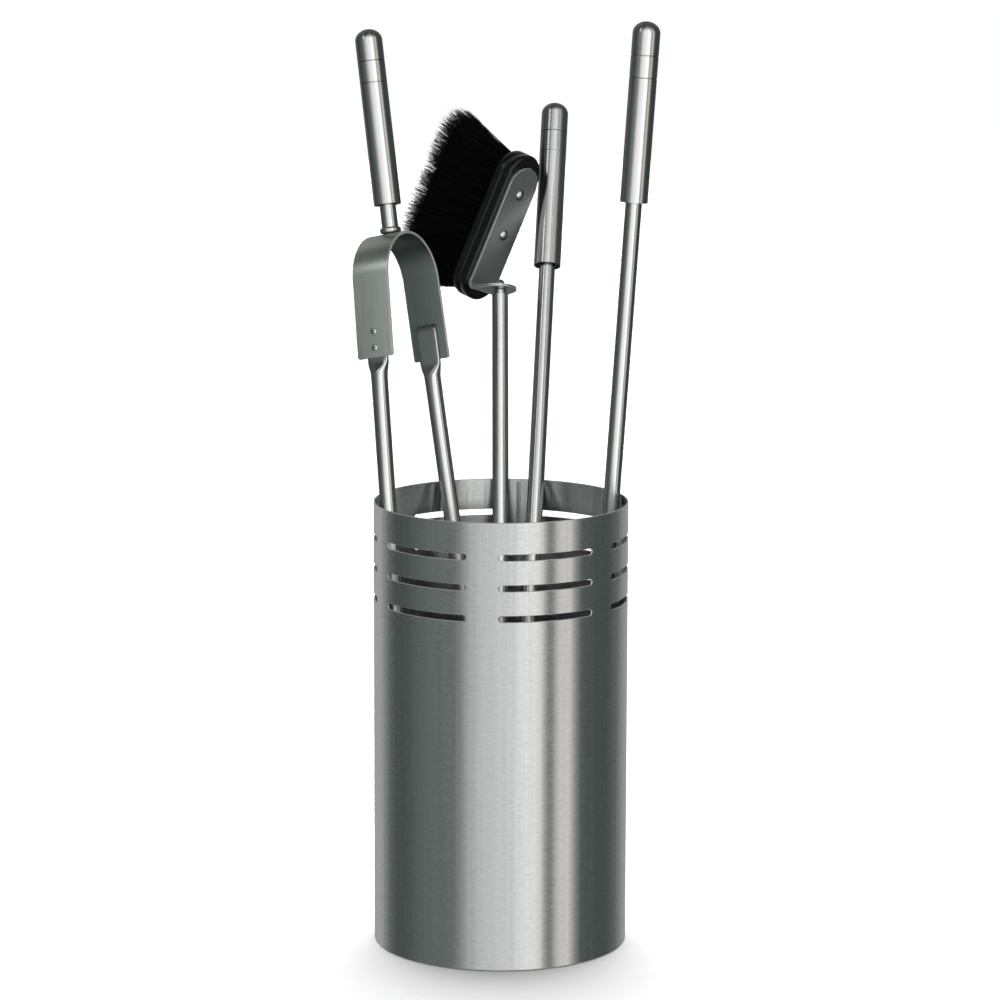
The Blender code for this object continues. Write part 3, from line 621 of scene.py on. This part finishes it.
def refined(name, node, body, material, space, bevel=0.0, levels=0, crease_angle=40, edging=None):
    """A smooth version of a CAD node's shape: its flats joined, its edges creased or rounded."""
    bm = bmesh.new()
    bm.from_mesh(frame["nodes"][node].data)
    bmesh.ops.transform(bm, matrix=space.inverted(), verts=bm.verts)
    bmesh.ops.remove_doubles(bm, verts=bm.verts, dist=0.004 * MM)
    bmesh.ops.join_triangles(bm, faces=bm.faces, angle_face_threshold=radians(8),
                             angle_shape_threshold=radians(60))
    bmesh.ops.recalc_face_normals(bm, faces=bm.faces)
    crease = bm.edges.layers.float.new("crease_edge")
    for edge in bm.edges:
        if len(edge.link_faces) == 2 and edge.calc_face_angle(0) > radians(crease_angle):
            edge[crease] = 1.0
    piece = add_piece(name, finished(bm, name, crease_angle), body, material, space, [node])
    if bevel:
        edges = piece.modifiers.new("edges", "BEVEL")
        edges.width = bevel
        edges.segments = 2
        edges.limit_method = "ANGLE"
        edges.angle_limit = radians(crease_angle)
        edges.harden_normals = True
        if edging:
            piece.data.materials.append(edging)
            edges.material = 1
    if levels:
        smooth = piece.modifiers.new("smooth", "SUBSURF")
        smooth.levels = levels
        smooth.render_levels = levels
    return piece


# ---------------------------------------------------------------- bucket

def stadium_points(length, height, steps=SLOT_END_STEPS):
    """The outline of a slot with round ends, about its middle."""
    radius = height / 2
    points = []
    for centre_x, first in ((length / 2 - radius, -pi / 2), (-length / 2 + radius, pi / 2)):
        for step in range(steps + 1):
            angle = first + pi * step / steps
            points.append(Vector((centre_x + radius * cos(angle), radius * sin(angle))))
    shares = [step / SLOT_SIDE_STEPS for step in range(1, SLOT_SIDE_STEPS)]
    top = [points[steps].lerp(points[steps + 1], share) for share in shares]
    bottom = [points[-1].lerp(points[0], share) for share in shares]
    return points[: steps + 1] + top + points[steps + 1:] + bottom


def wall_sector(outlines, pitch, columns, rows):
    """A flat piece of wall in (turn, height) with slots cut out, as points and triangles."""
    points = []
    for row in rows:
        for column in range(columns + 1):
            spot = Vector((-pitch / 2 + pitch * column / columns, row))
            if not any(near_slot(spot, outline) for outline in outlines):
                points.append(spot)
    edges = []
    for outline in outlines:
        first = len(points)
        points += outline
        edges += [(first + i, first + (i + 1) % len(outline)) for i in range(len(outline))]
    found = delaunay_2d_cdt(points, edges, [], 0, 1e-7)
    spots, triangles = found[0], found[2]
    kept = []
    for triangle in triangles:
        middle = sum((spots[i] for i in triangle), Vector((0, 0))) / 3
        if not any(inside(middle, outline) for outline in outlines):
            kept.append(triangle)
    return spots, kept


def inside(point, outline):
    """Whether a closed outline holds a point."""
    hits = 0
    for a, b in zip(outline, outline[1:] + outline[:1]):
        if (a.y > point.y) != (b.y > point.y):
            hits += point.x < a.x + (point.y - a.y) * (b.x - a.x) / (b.y - a.y)
    return hits % 2 == 1


def near_slot(point, outline):
    """Whether a lattice point lies in a slot or too close beside it."""
    turns = [spot.x for spot in outline]
    heights = [spot.y for spot in outline]
    beside = min(turns) - SLOT_MARGIN_TURN < point.x < max(turns) + SLOT_MARGIN_TURN
    level = min(heights) - SLOT_MARGIN_HEIGHT < point.y < max(heights) + SLOT_MARGIN_HEIGHT
    return beside and level


def make_bucket(materials):
    """The shell: outer and inner faces, with a fine chamfer at the rims and round every slot.

    Above the slots the inner face is shaded as if it leaned out a little, like a wall that opens at its rim.
    """
    low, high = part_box("bucket_shell")
    outer = (high.x - low.x) / 2
    inner = outer - BUCKET_WALL
    top = high.z
    pitch = 2 * pi / SLOT_COLUMNS
    columns = BUCKET_COLUMNS // SLOT_COLUMNS
    slot_levels = [top - depth for depth in SLOT_DEPTHS_BELOW_RIM]
    rows = [*WALL_ROWS, top - EDGE]

    def slot_outline(level, grow):
        outline = stadium_points(SLOT_LENGTH + 2 * grow, SLOT_HEIGHT + 2 * grow)
        return [Vector((point.x / outer, level + point.y)) for point in outline]

    bm = bmesh.new()

    def wrapped(spot, radius, turn):
        return bm.verts.new((radius * cos(spot.x + turn), radius * sin(spot.x + turn), spot.y))

    kinds = bm.faces.layers.int.new("kind")
    open_outlines = [slot_outline(level, EDGE) for level in slot_levels]
    spots, triangles = wall_sector(open_outlines, pitch, columns, rows)
    for sector in range(SLOT_COLUMNS):
        turn = SLOT_FIRST_ANGLE + sector * pitch
        for radius, kind in ((outer, 1), (inner, 2)):
            ring = [wrapped(spot, radius, turn) for spot in spots]
            for triangle in triangles:
                face = bm.faces.new([ring[i] for i in triangle])
                face[kinds] = kind
        for level in slot_levels:
            layers = [(outer, EDGE), (outer - EDGE, 0), (inner + EDGE, 0), (inner, EDGE)]
            bridge(bm, [
                [wrapped(spot, radius, turn) for spot in slot_outline(level, grow)]
                for radius, grow in layers
            ])
    for edge_level, tip in ((EDGE, 0.0), (top - EDGE, top)):
        rings = []
        corners_here = ((outer, edge_level), (outer - EDGE, tip), (inner + EDGE, tip), (inner, edge_level))
        for radius, height in corners_here:
            rings.append([
                wrapped(Vector((2 * pi * i / BUCKET_COLUMNS, height)), radius, SLOT_FIRST_ANGLE - pitch / 2)
                for i in range(BUCKET_COLUMNS)
            ])
        bridge(bm, rings)
    bmesh.ops.remove_doubles(bm, verts=bm.verts, dist=0.002 * MM)
    bmesh.ops.recalc_face_normals(bm, faces=bm.faces)
    kind_of = [face[kinds] for face in bm.faces]
    mesh = finished(bm, "bucket_wall", 25)
    normals = []
    for polygon in mesh.polygons:
        for index in polygon.loop_indices:
            spot = mesh.vertices[mesh.loops[index].vertex_index].co
            radial = Vector((spot.x, spot.y, 0)).normalized()
            if kind_of[polygon.index] == 1:
                normals.append(radial)
            elif kind_of[polygon.index] == 2:
                tilt = INSIDE_TILT if spot.z > top - INSIDE_TILT_DEPTH else Vector((0, 0, 0))
                normals.append((tilt - radial).normalized())
            else:
                normals.append(Vector((0, 0, 0)))
    mesh.normals_split_custom_set(normals)
    # Chamfers, slot walls and the rim take the lighter cut-edge colour, partly a painted highlight.
    for key in ("cut", "bucket", "inside"):
        mesh.materials.append(materials[key])
    for polygon, kind in zip(mesh.polygons, kind_of):
        polygon.material_index = kind
    add_piece("bucket_wall", mesh, "bucket", materials["bucket"], None, ["bucket_shell"])

    base_low, base_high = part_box("bucket_base")
    rim = (base_high.x - base_low.x) / 2
    floor = base_low.z + PAN_THICKNESS
    middle = rim - PAN_THICKNESS / 2
    pan = [(middle, base_high.z), (rim, base_high.z), (rim, base_low.z), (0, base_low.z), (0, floor),
           (rim - PAN_THICKNESS, floor), (rim - PAN_THICKNESS, base_high.z)]
    turned("bucket_pan", pan, Matrix.Identity(4), "bucket", materials["base"],
           ["bucket_base"], PAN_EDGE, steps=160)
    make_seam(inner, top, materials)


def make_seam(inner, top, materials):
    """The welded seam up the inside of the wall, a low uneven bead."""
    rng = random.Random(11)
    bm = bmesh.new()
    rows = []
    for rise in range(SEAM_ROWS + 1):
        height = SEAM_BOTTOM + (top - SEAM_BOTTOM - SEAM_BELOW_RIM) * rise / SEAM_ROWS
        wander = SEAM_HALF_WIDTH * rng.uniform(-0.12, 0.12)
        swell = rng.uniform(0.75, 1.2)
        row = []
        for step in range(SEAM_COLUMNS + 1):
            share = step / SEAM_COLUMNS * 2 - 1
            angle = SEAM_ANGLE + (share * SEAM_HALF_WIDTH * rng.uniform(0.92, 1.08) + wander) / inner
            depth = inner + 0.05 * MM - SEAM_HEIGHT * swell * sqrt(max(0, 1 - share * share))
            row.append(bm.verts.new((depth * cos(angle), depth * sin(angle), height)))
        rows.append(row)
    for near, far in zip(rows, rows[1:]):
        for step in range(SEAM_COLUMNS):
            bm.faces.new((near[step], near[step + 1], far[step + 1], far[step]))
    bmesh.ops.recalc_face_normals(bm, faces=bm.faces)
    add_piece("bucket_seam", finished(bm, "bucket_seam"), "bucket", materials["weld"])


# ---------------------------------------------------------------- tongs

def spring_half(side, crown_height, space, materials):
    """One half of the tongs' bent strip, from the crown to the leg's end."""
    label = "left" if side < 0 else "right"
    splay = SPLAYS[label]
    middle = SPRING_RADIUS - SPRING_THICKNESS / 2
    hub = crown_height - SPRING_RADIUS
    path = []
    sweep = pi / 2 - splay
    for step in range(ARCH_STEPS + 1):
        angle = sweep * step / ARCH_STEPS
        out = Vector((side * sin(angle), cos(angle)))
        path.append((Vector((0, hub)) + out * middle, out))
    down = Vector((side * sin(splay), -cos(splay)))
    start, out = path[-1]
    reaches = [SPRING_LEG * step / LEG_STEPS for step in range(1, LEG_STEPS)]
    for step in range(1, CORNER_STEPS + 1):
        reaches.append(SPRING_LEG - STRIP_CORNER * (1 - sin(pi / 2 * step / CORNER_STEPS)))
    path += [(start + down * reach, out) for reach in sorted(reaches)]
    end = start + down * SPRING_LEG
    bm = bmesh.new()
    layer = bm.loops.layers.uv.new("strip")
    section = rounded_section(SPRING_WIDTH / 2, SPRING_THICKNESS / 2, SPRING_EDGE)
    loops = []
    travelled = 0.0
    lengths = []
    for index, (spot, out) in enumerate(path):
        if index:
            travelled += (spot - path[index - 1][0]).length
        lengths.append(travelled)
        short = max(0, STRIP_CORNER - (end - spot).length)
        narrow = 1 - (STRIP_CORNER - sqrt(STRIP_CORNER ** 2 - short ** 2)) / (SPRING_WIDTH / 2)
        loop = []
        for y, t in section:
            place = spot + out * t
            loop.append(bm.verts.new((place.x, y * narrow, place.y)))
        loops.append(loop)
    count = len(section)
    for index in range(len(loops) - 1):
        for i in range(count):
            j = (i + 1) % count
            face = bm.faces.new((loops[index][i], loops[index][j], loops[index + 1][j], loops[index + 1][i]))
            # Faces on the strip's inner side take the darker copy of its steel, a painted shade; its cut
            # sides take the lighter edge colour, partly a painted highlight.
            wide = abs(section[i][0] - section[j][0]) > SPRING_THICKNESS
            facing = 0 if section[i][1] > 0 else 2
            face.material_index = facing if wide else 1
            places = ((i, index), (i + 1, index), (i + 1, index + 1), (i, index + 1))
            for corner, (column, row) in zip(face.loops, places):
                corner[layer].uv = (section[column % count][0], lengths[row])
    bm.faces.new(loops[-1]).material_index = 1
    bm.faces.new(loops[0])
    bmesh.ops.recalc_face_normals(bm, faces=bm.faces)
    name = "tongs_spring_" + label
    mesh = finished(bm, name, 35)
    for key in ("spring", "cut", "spring_inner_shaded"):
        mesh.materials.append(materials[key])
    return add_piece(name, mesh, None, materials["spring"], space, ["tongs_spring"])


def rounded_section(half_width, half_thick, edge, steps=3):
    """Outline of a strip's cross section with small round corners, as (across, through)."""
    points = []
    for sign_y, sign_t, first in ((1, -1, -pi / 2), (1, 1, 0), (-1, 1, pi / 2), (-1, -1, pi)):
        for step in range(steps + 1):
            angle = first + pi / 2 * step / steps
            points.append((
                sign_y * (half_width - edge) + edge * cos(angle),
                sign_t * (half_thick - edge) + edge * sin(angle),
            ))
    return points


def make_tongs(space, materials):
    make_handle("tongs", space, "tongs", materials)
    plain_rod("tongs_stem", "tongs_neck", space, "tongs", materials)
    low, high, radius = spans("tongs_collar", space)
    bore = spans("tongs_neck", space)[2] + CLEARANCE
    collar = [(bore + BEAD_LIP, high)]
    for step in range(BEAD_STEPS + 1):
        angle = pi / 2 - pi * step / BEAD_STEPS
        across = radius - BEAD_ROUND * (1 - cos(angle))
        collar.append((across, (low + high) / 2 + (high - low) / 2 * sin(angle)))
    collar += [(bore, low), (bore, high)]
    turned("tongs_bead", collar, space, "tongs", materials["rod"], ["tongs_collar"])
    below = facing_space("tongs_nut", space.to_3x3() @ Vector((0, 0, -1)), Vector((0, 1, 0)))
    dome_screw("tongs_bolt_head", "tongs_nut", below, "tongs", materials)

    crown_height = low - CLEARANCE
    for side, label in ((-1, "left"), (1, "right")):
        half = spring_half(side, crown_height, space, materials)
        body = "tongs_%s_arm" % label
        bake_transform(half)
        refined("tongs_%s_tube" % label, "tongs_%s_arm" % label, body, materials["rod"],
                space, levels=2, crease_angle=60)
        refined("tongs_%s_claw" % label, "tongs_%s_paw" % label, body, materials["strip"],
                space, levels=2, crease_angle=60)
        splay = SPLAYS[label]
        outward = space.to_3x3() @ Vector((side * cos(splay), 0, sin(splay)))
        for place in ("upper", "lower"):
            node = "tongs_%s_rivet_%s" % (label, place)
            spot = facing_space(node, outward, space.to_3x3() @ Vector((0, 1, 0)))
            dome_screw("tongs_%s_spot_%s" % (label, place), node, spot, body, materials,
                       flange=0.1, steps=32)


# ---------------------------------------------------------------- brush

def leg_space():
    """The bracket's leg: X up it, Z out of its back towards the bristles."""
    up = (centre("brush_screw_upper") - centre("brush_screw_lower")).normalized()
    towards = centre("brush_block") - centre("brush_screw_lower")
    out = (towards - up * towards.dot(up)).normalized()
    turn = Matrix((up, out.cross(up), out)).transposed().to_4x4()
    return Matrix.Translation(centre("brush_screw_lower")) @ turn


def local_box(node, space):
    local = [space.inverted() @ corner for corner in corners(node)]
    low = Vector([min(point[i] for point in local) for i in range(3)])
    high = Vector([max(point[i] for point in local) for i in range(3)])
    return low, high


def stadium_loop(bm, start, end, half_width, height, arc_steps=32):
    loop = []
    for middle, first in ((end - half_width, -pi / 2), (start + half_width, pi / 2)):
        for step in range(arc_steps + 1):
            angle = first + pi * step / arc_steps
            spot = (middle + half_width * cos(angle), half_width * sin(angle), height)
            loop.append(bm.verts.new(spot))
    return loop


def layered(name, levels):
    """Round-ended outlines stacked on one another, each a (height, start, end, half width)."""
    bm = bmesh.new()
    loops = [stadium_loop(bm, start, end, half, height) for height, start, end, half in levels]
    bridge(bm, loops)
    bm.faces.new(loops[0])
    bm.faces.new(loops[-1])
    bmesh.ops.recalc_face_normals(bm, faces=bm.faces)
    return finished(bm, name, 40)


def make_block(leg, materials):
    """The two-tier block that holds the bristles."""
    low, high = local_box("brush_block", leg)
    middle = (low.z + high.z) / 2
    edge = []
    for step in range(BLOCK_STEPS + 1):
        angle = pi / 2 * step / BLOCK_STEPS
        edge.append((low.z + BLOCK_EDGE * (1 - cos(angle)), BLOCK_EDGE * (1 - sin(angle))))
    groove = [(middle + BLOCK_GROOVE * rise, BLOCK_GROOVE * inset)
              for rise, inset in ((-1, 0), (-0.3, 0.35), (0, 1), (0.3, 0.35), (1, 0))]
    insets = edge + groove + [(high.z + low.z - height, inset) for height, inset in reversed(edge)]
    half = (high.y - low.y) / 2
    levels = [(height, low.x + inset, high.x - inset, half - inset) for height, inset in insets]
    add_piece("brush_back", layered("brush_back", levels), "brush", materials["lacquer"],
              leg, ["brush_block"])
    return low, high


def flared(x, y, rise, low, high, half):
    """Where a bristle rooted at (x, y) has got to at a share of its length."""
    spread = rise ** BRISTLE_FLARE_CURVE
    along = (x - low) / (high - low)
    shift = -BRISTLE_FLARE_DOWN * (1 - along) + BRISTLE_FLARE_UP * along
    return Vector((x + shift * spread, y + BRISTLE_FLARE_SIDE * spread * y / half, 0))


def make_bristles(leg, block_low, block_high, materials):
    """Single hairs that leave the block in tufts and flare, round a dark core that stops the light."""
    rng = random.Random(5)
    low = block_low.x + BRISTLE_MARGIN
    high = block_high.x - BRISTLE_MARGIN
    half = (block_high.y - block_low.y) / 2 - BRISTLE_SIDE_MARGIN
    root = block_high.z
    bm = bmesh.new()
    tip_layer = bm.verts.layers.float.new("tip")
    made = 0
    while made < BRISTLE_COUNT:
        x, y = rng.uniform(low, high), rng.uniform(-half, half)
        past = max(0, low + half - x, x - (high - half))
        if past * past + y * y > half * half:
            continue
        made += 1
        tuft = Vector((round(x / TUFT_SPACING) * TUFT_SPACING, round(y / TUFT_SPACING) * TUFT_SPACING))
        gather = Vector((x, y)).lerp(tuft, TUFT_GATHER)
        along = (x - low) / (high - low)
        worn = 1 - LOW_CORNER_WEAR * max(0, 1 - along / LOW_CORNER_SHARE) ** 2
        length = BRISTLE_LENGTH * rng.uniform(BRISTLE_SHORTEST, 1.0) * worn
        wave_x = sin(x * CLUMP_RATE + y * CLUMP_RATE * 0.7)
        wave_y = cos(x * CLUMP_RATE * 0.8 - y * CLUMP_RATE)
        lean = Vector((wave_x, wave_y, 0)) * CLUMP_PULL
        lean += Vector((rng.gauss(0, BRISTLE_LEAN), rng.gauss(0, BRISTLE_LEAN), 0))
        curl = Vector((rng.gauss(0, BRISTLE_CURL), rng.gauss(0, BRISTLE_CURL), 0))
        rings = []
        for joint in range(BRISTLE_JOINTS + 1):
            share = joint / BRISTLE_JOINTS
            open_up = gather.lerp(Vector((x, y)), min(1, share * TUFT_OPENING))
            spot = flared(open_up.x, open_up.y, share * worn, low, high, half)
            spot += lean * share * share + curl * sin(pi * share)
            spot.z = root + length * share
            radius = BRISTLE_RADIUS * (1 - BRISTLE_TAPER * share)
            ring = []
            for corner in range(3):
                angle = 2 * pi * corner / 3
                vertex = bm.verts.new(spot + Vector((radius * cos(angle), radius * sin(angle), 0)))
                vertex[tip_layer] = share
                ring.append(vertex)
            rings.append(ring)
        bridge(bm, rings)
        bm.faces.new(rings[-1])
    add_piece("brush_hair", finished(bm, "brush_hair"), "brush", materials["hair"], leg,
              ["brush_bristles"])
    levels = []
    for step in range(CORE_STEPS + 1):
        share = step / CORE_STEPS * CORE_SHARE
        spread = share ** BRISTLE_FLARE_CURVE
        levels.append((
            root + BRISTLE_LENGTH * share,
            low + CORE_MARGIN - BRISTLE_FLARE_DOWN * spread * (1 - CORE_PULL_IN * share),
            high - CORE_MARGIN + BRISTLE_FLARE_UP * spread,
            half - CORE_MARGIN + BRISTLE_FLARE_SIDE * spread,
        ))
    add_piece("brush_hair_core", layered("brush_hair_core", levels), "brush", materials["core"],
              leg)


def make_brush(space, materials):
    make_handle("brush", space, "brush", materials)
    plain_rod("brush_stem", "brush_rod", space, "brush", materials)
    plain_rod("brush_stub", "brush_collar", space, "brush", materials)
    leg = leg_space()
    # The bracket's bevelled edges take the lighter cut-edge colour, partly a painted highlight.
    refined("brush_strip", "brush_bracket", "brush", materials["bracket"], space,
            bevel=BRACKET_EDGE, edging=materials["cut"])
    dome_screw("brush_bolt_head", "brush_bolt", space.copy(), "brush", materials)
    out = -(leg.to_3x3() @ Vector((0, 0, 1)))
    along = leg.to_3x3() @ Vector((1, 0, 0))
    for place in ("upper", "lower"):
        spot = facing_space("brush_screw_" + place, out, along)
        dome_screw("brush_screw_head_" + place, "brush_screw_" + place, spot, "brush", materials)
    low, high = make_block(leg, materials)
    make_bristles(leg, low, high, materials)


# ---------------------------------------------------------------- shovel and poker

def make_shovel(space, materials):
    make_handle("shovel", space, "shovel", materials)
    refined("shovel_stem", "shovel_rod", "shovel", materials["rod"], space,
            levels=2, crease_angle=60)
    refined("shovel_pan", "shovel_blade", "shovel", materials["strip"], space,
            bevel=THIN_EDGE, levels=1, crease_angle=50)
    for number in (1, 2):
        node = "shovel_rivet_%d" % number
        outward = (centre(node) - centre("shovel_rod")).normalized()
        facing = space.to_3x3() @ Vector((1, 0, 0))
        facing = facing if facing.dot(outward) > 0 else -facing
        spot = facing_space(node, facing, space.to_3x3() @ Vector((0, 1, 0)))
        dome_screw("shovel_rivet_head_%d" % number, node, spot, "shovel", materials)


def make_poker(space, materials):
    make_handle("poker", space, "poker", materials)
    plain_rod("poker_stem", "poker_rod", space, "poker", materials)
    refined("poker_tip", "poker_point", "poker", materials["rod"], space,
            bevel=THIN_EDGE, crease_angle=30)
    refined("poker_claw", "poker_hook", "poker", materials["rod"], space,
            levels=2, crease_angle=60)


# ---------------------------------------------------------------- room

def make_studio():
    """The world: panels that the metal mirrors, plain white for the camera, soft light for the rest."""
    world = bpy.data.worlds.new("studio")
    bpy.context.scene.world = world
    world.use_nodes = True
    world.cycles.sampling_method = "NONE"
    world.node_tree.nodes.clear()
    nodes = Nodes(world.node_tree)
    direction = nodes.add("ShaderNodeSeparateXYZ")
    nodes.link(nodes.add("ShaderNodeTexCoord").outputs["Generated"], direction.inputs[0])
    right, back, up = direction.outputs

    bearing = nodes.math("ARCTAN2", right, nodes.math("MULTIPLY", back, -1))
    stops = []
    for degrees_right, grey in PANELS:
        warm = max(0, 1 - abs(degrees_right - WARMEST_BEARING) / WARM_SPREAD) * WARMTH
        cool = max(0, 1 - grey / COOLEST_GREY) * COOLNESS
        colour = (grey * (1 + warm - 2 * cool), grey * (1 + cool), grey * (1 - warm * 1.5))
        stops.append(((degrees_right + 180) / 360, colour))
    panels = nodes.ramp(nodes.remap(bearing, 0, 1, -pi, pi), stops)
    shares = [((place + 1) / 2, (share,) * 3) for place, share in HEIGHTS]
    fall = nodes.ramp(nodes.remap(up, 0, 1, -1, 1), shares)
    mirrored = nodes.add("ShaderNodeBackground")
    nodes.link(nodes.multiplied(panels, fall), mirrored.inputs["Color"])

    white = (1, 1, 1, 1)
    soft = nodes.add("ShaderNodeBackground")
    soft.inputs["Color"].default_value = white
    from_back = nodes.math("POWER", nodes.remap(back, 0, 1, -1, 1), ROOM_LIGHT_CURVE)
    nodes.link(nodes.math("MULTIPLY", from_back, ROOM_LIGHT), soft.inputs["Strength"])
    backdrop = nodes.add("ShaderNodeBackground")
    backdrop.inputs["Color"].default_value = white

    ray = nodes.add("ShaderNodeLightPath")
    surface = soft.outputs[0]
    for chooser, choice in (("Is Glossy Ray", mirrored), ("Is Camera Ray", backdrop)):
        chosen = nodes.add("ShaderNodeMixShader")
        nodes.link(ray.outputs[chooser], chosen.inputs["Fac"])
        nodes.link(surface, chosen.inputs[1])
        nodes.link(choice.outputs[0], chosen.inputs[2])
        surface = chosen.outputs[0]
    nodes.link(surface, nodes.add("ShaderNodeOutputWorld").inputs["Surface"])


def make_light(name, place, size, energy, mirrored):
    """A soft round lamp that faces the bucket and shows in the metal if it is mirrored."""
    data = bpy.data.lights.new(name, "AREA")
    data.shape = "DISK"
    data.size = size
    data.energy = energy
    item = bpy.data.objects.new(name, data)
    item.location = place
    item.rotation_euler = (LIGHT_AIM - Vector(place)).to_track_quat("-Z", "Y").to_euler()
    item.visible_glossy = mirrored
    item.visible_camera = False
    bpy.context.scene.collection.objects.link(item)


def make_room():
    make_studio()
    for light in LIGHTS:
        make_light(*light)
    bm = bmesh.new()
    bmesh.ops.create_grid(bm, x_segments=1, y_segments=1, size=FLOOR_HALF)
    paper = Surface("floor_paper")
    grain = paper.noise(paper.stretched((40,) * 3), 1.0, 3.0)
    paper.link(paper.ramp(grain, ((0.0, (0.89,) * 3), (1.0, (0.93,) * 3))), paper.shader.inputs["Base Color"])
    paper.shader.inputs["Roughness"].default_value = 0.9
    paper.shader.inputs["Specular IOR Level"].default_value = 0.0
    mesh = finished(bm, "floor")
    mesh.materials.append(paper.material)
    floor = bpy.data.objects.new("floor", mesh)
    floor.location.z = FLOOR_LEVEL
    floor.visible_glossy = False
    bpy.context.scene.collection.objects.link(floor)


def make_camera():
    data = bpy.data.cameras.new("camera")
    data.lens = CAMERA_LENS
    data.sensor_width = CAMERA_SENSOR
    camera = bpy.data.objects.new("camera", data)
    camera.location = CAMERA_PLACE
    camera.rotation_euler = (pi / 2 - CAMERA_PITCH, CAMERA_ROLL, CAMERA_YAW)
    bpy.context.scene.collection.objects.link(camera)
    bpy.context.scene.camera = camera
    bpy.context.scene.view_settings.view_transform = "Standard"


def dress_remaining(materials):
    """The CAD nodes that stay as they are, the plastic bushes, get their finish."""
    for name, node in frame["nodes"].items():
        if node.hide_render:
            continue
        node.data.materials.clear()
        node.data.materials.append(materials["bush"])


def main():
    materials = make_materials()
    spaces = find_spaces()
    make_camera()
    make_room()
    make_bucket(materials)
    make_shovel(spaces["shovel"], materials)
    make_poker(spaces["poker"], materials)
    make_brush(spaces["brush"], materials)
    make_tongs(spaces["tongs"], materials)
    dress_remaining(materials)


main()
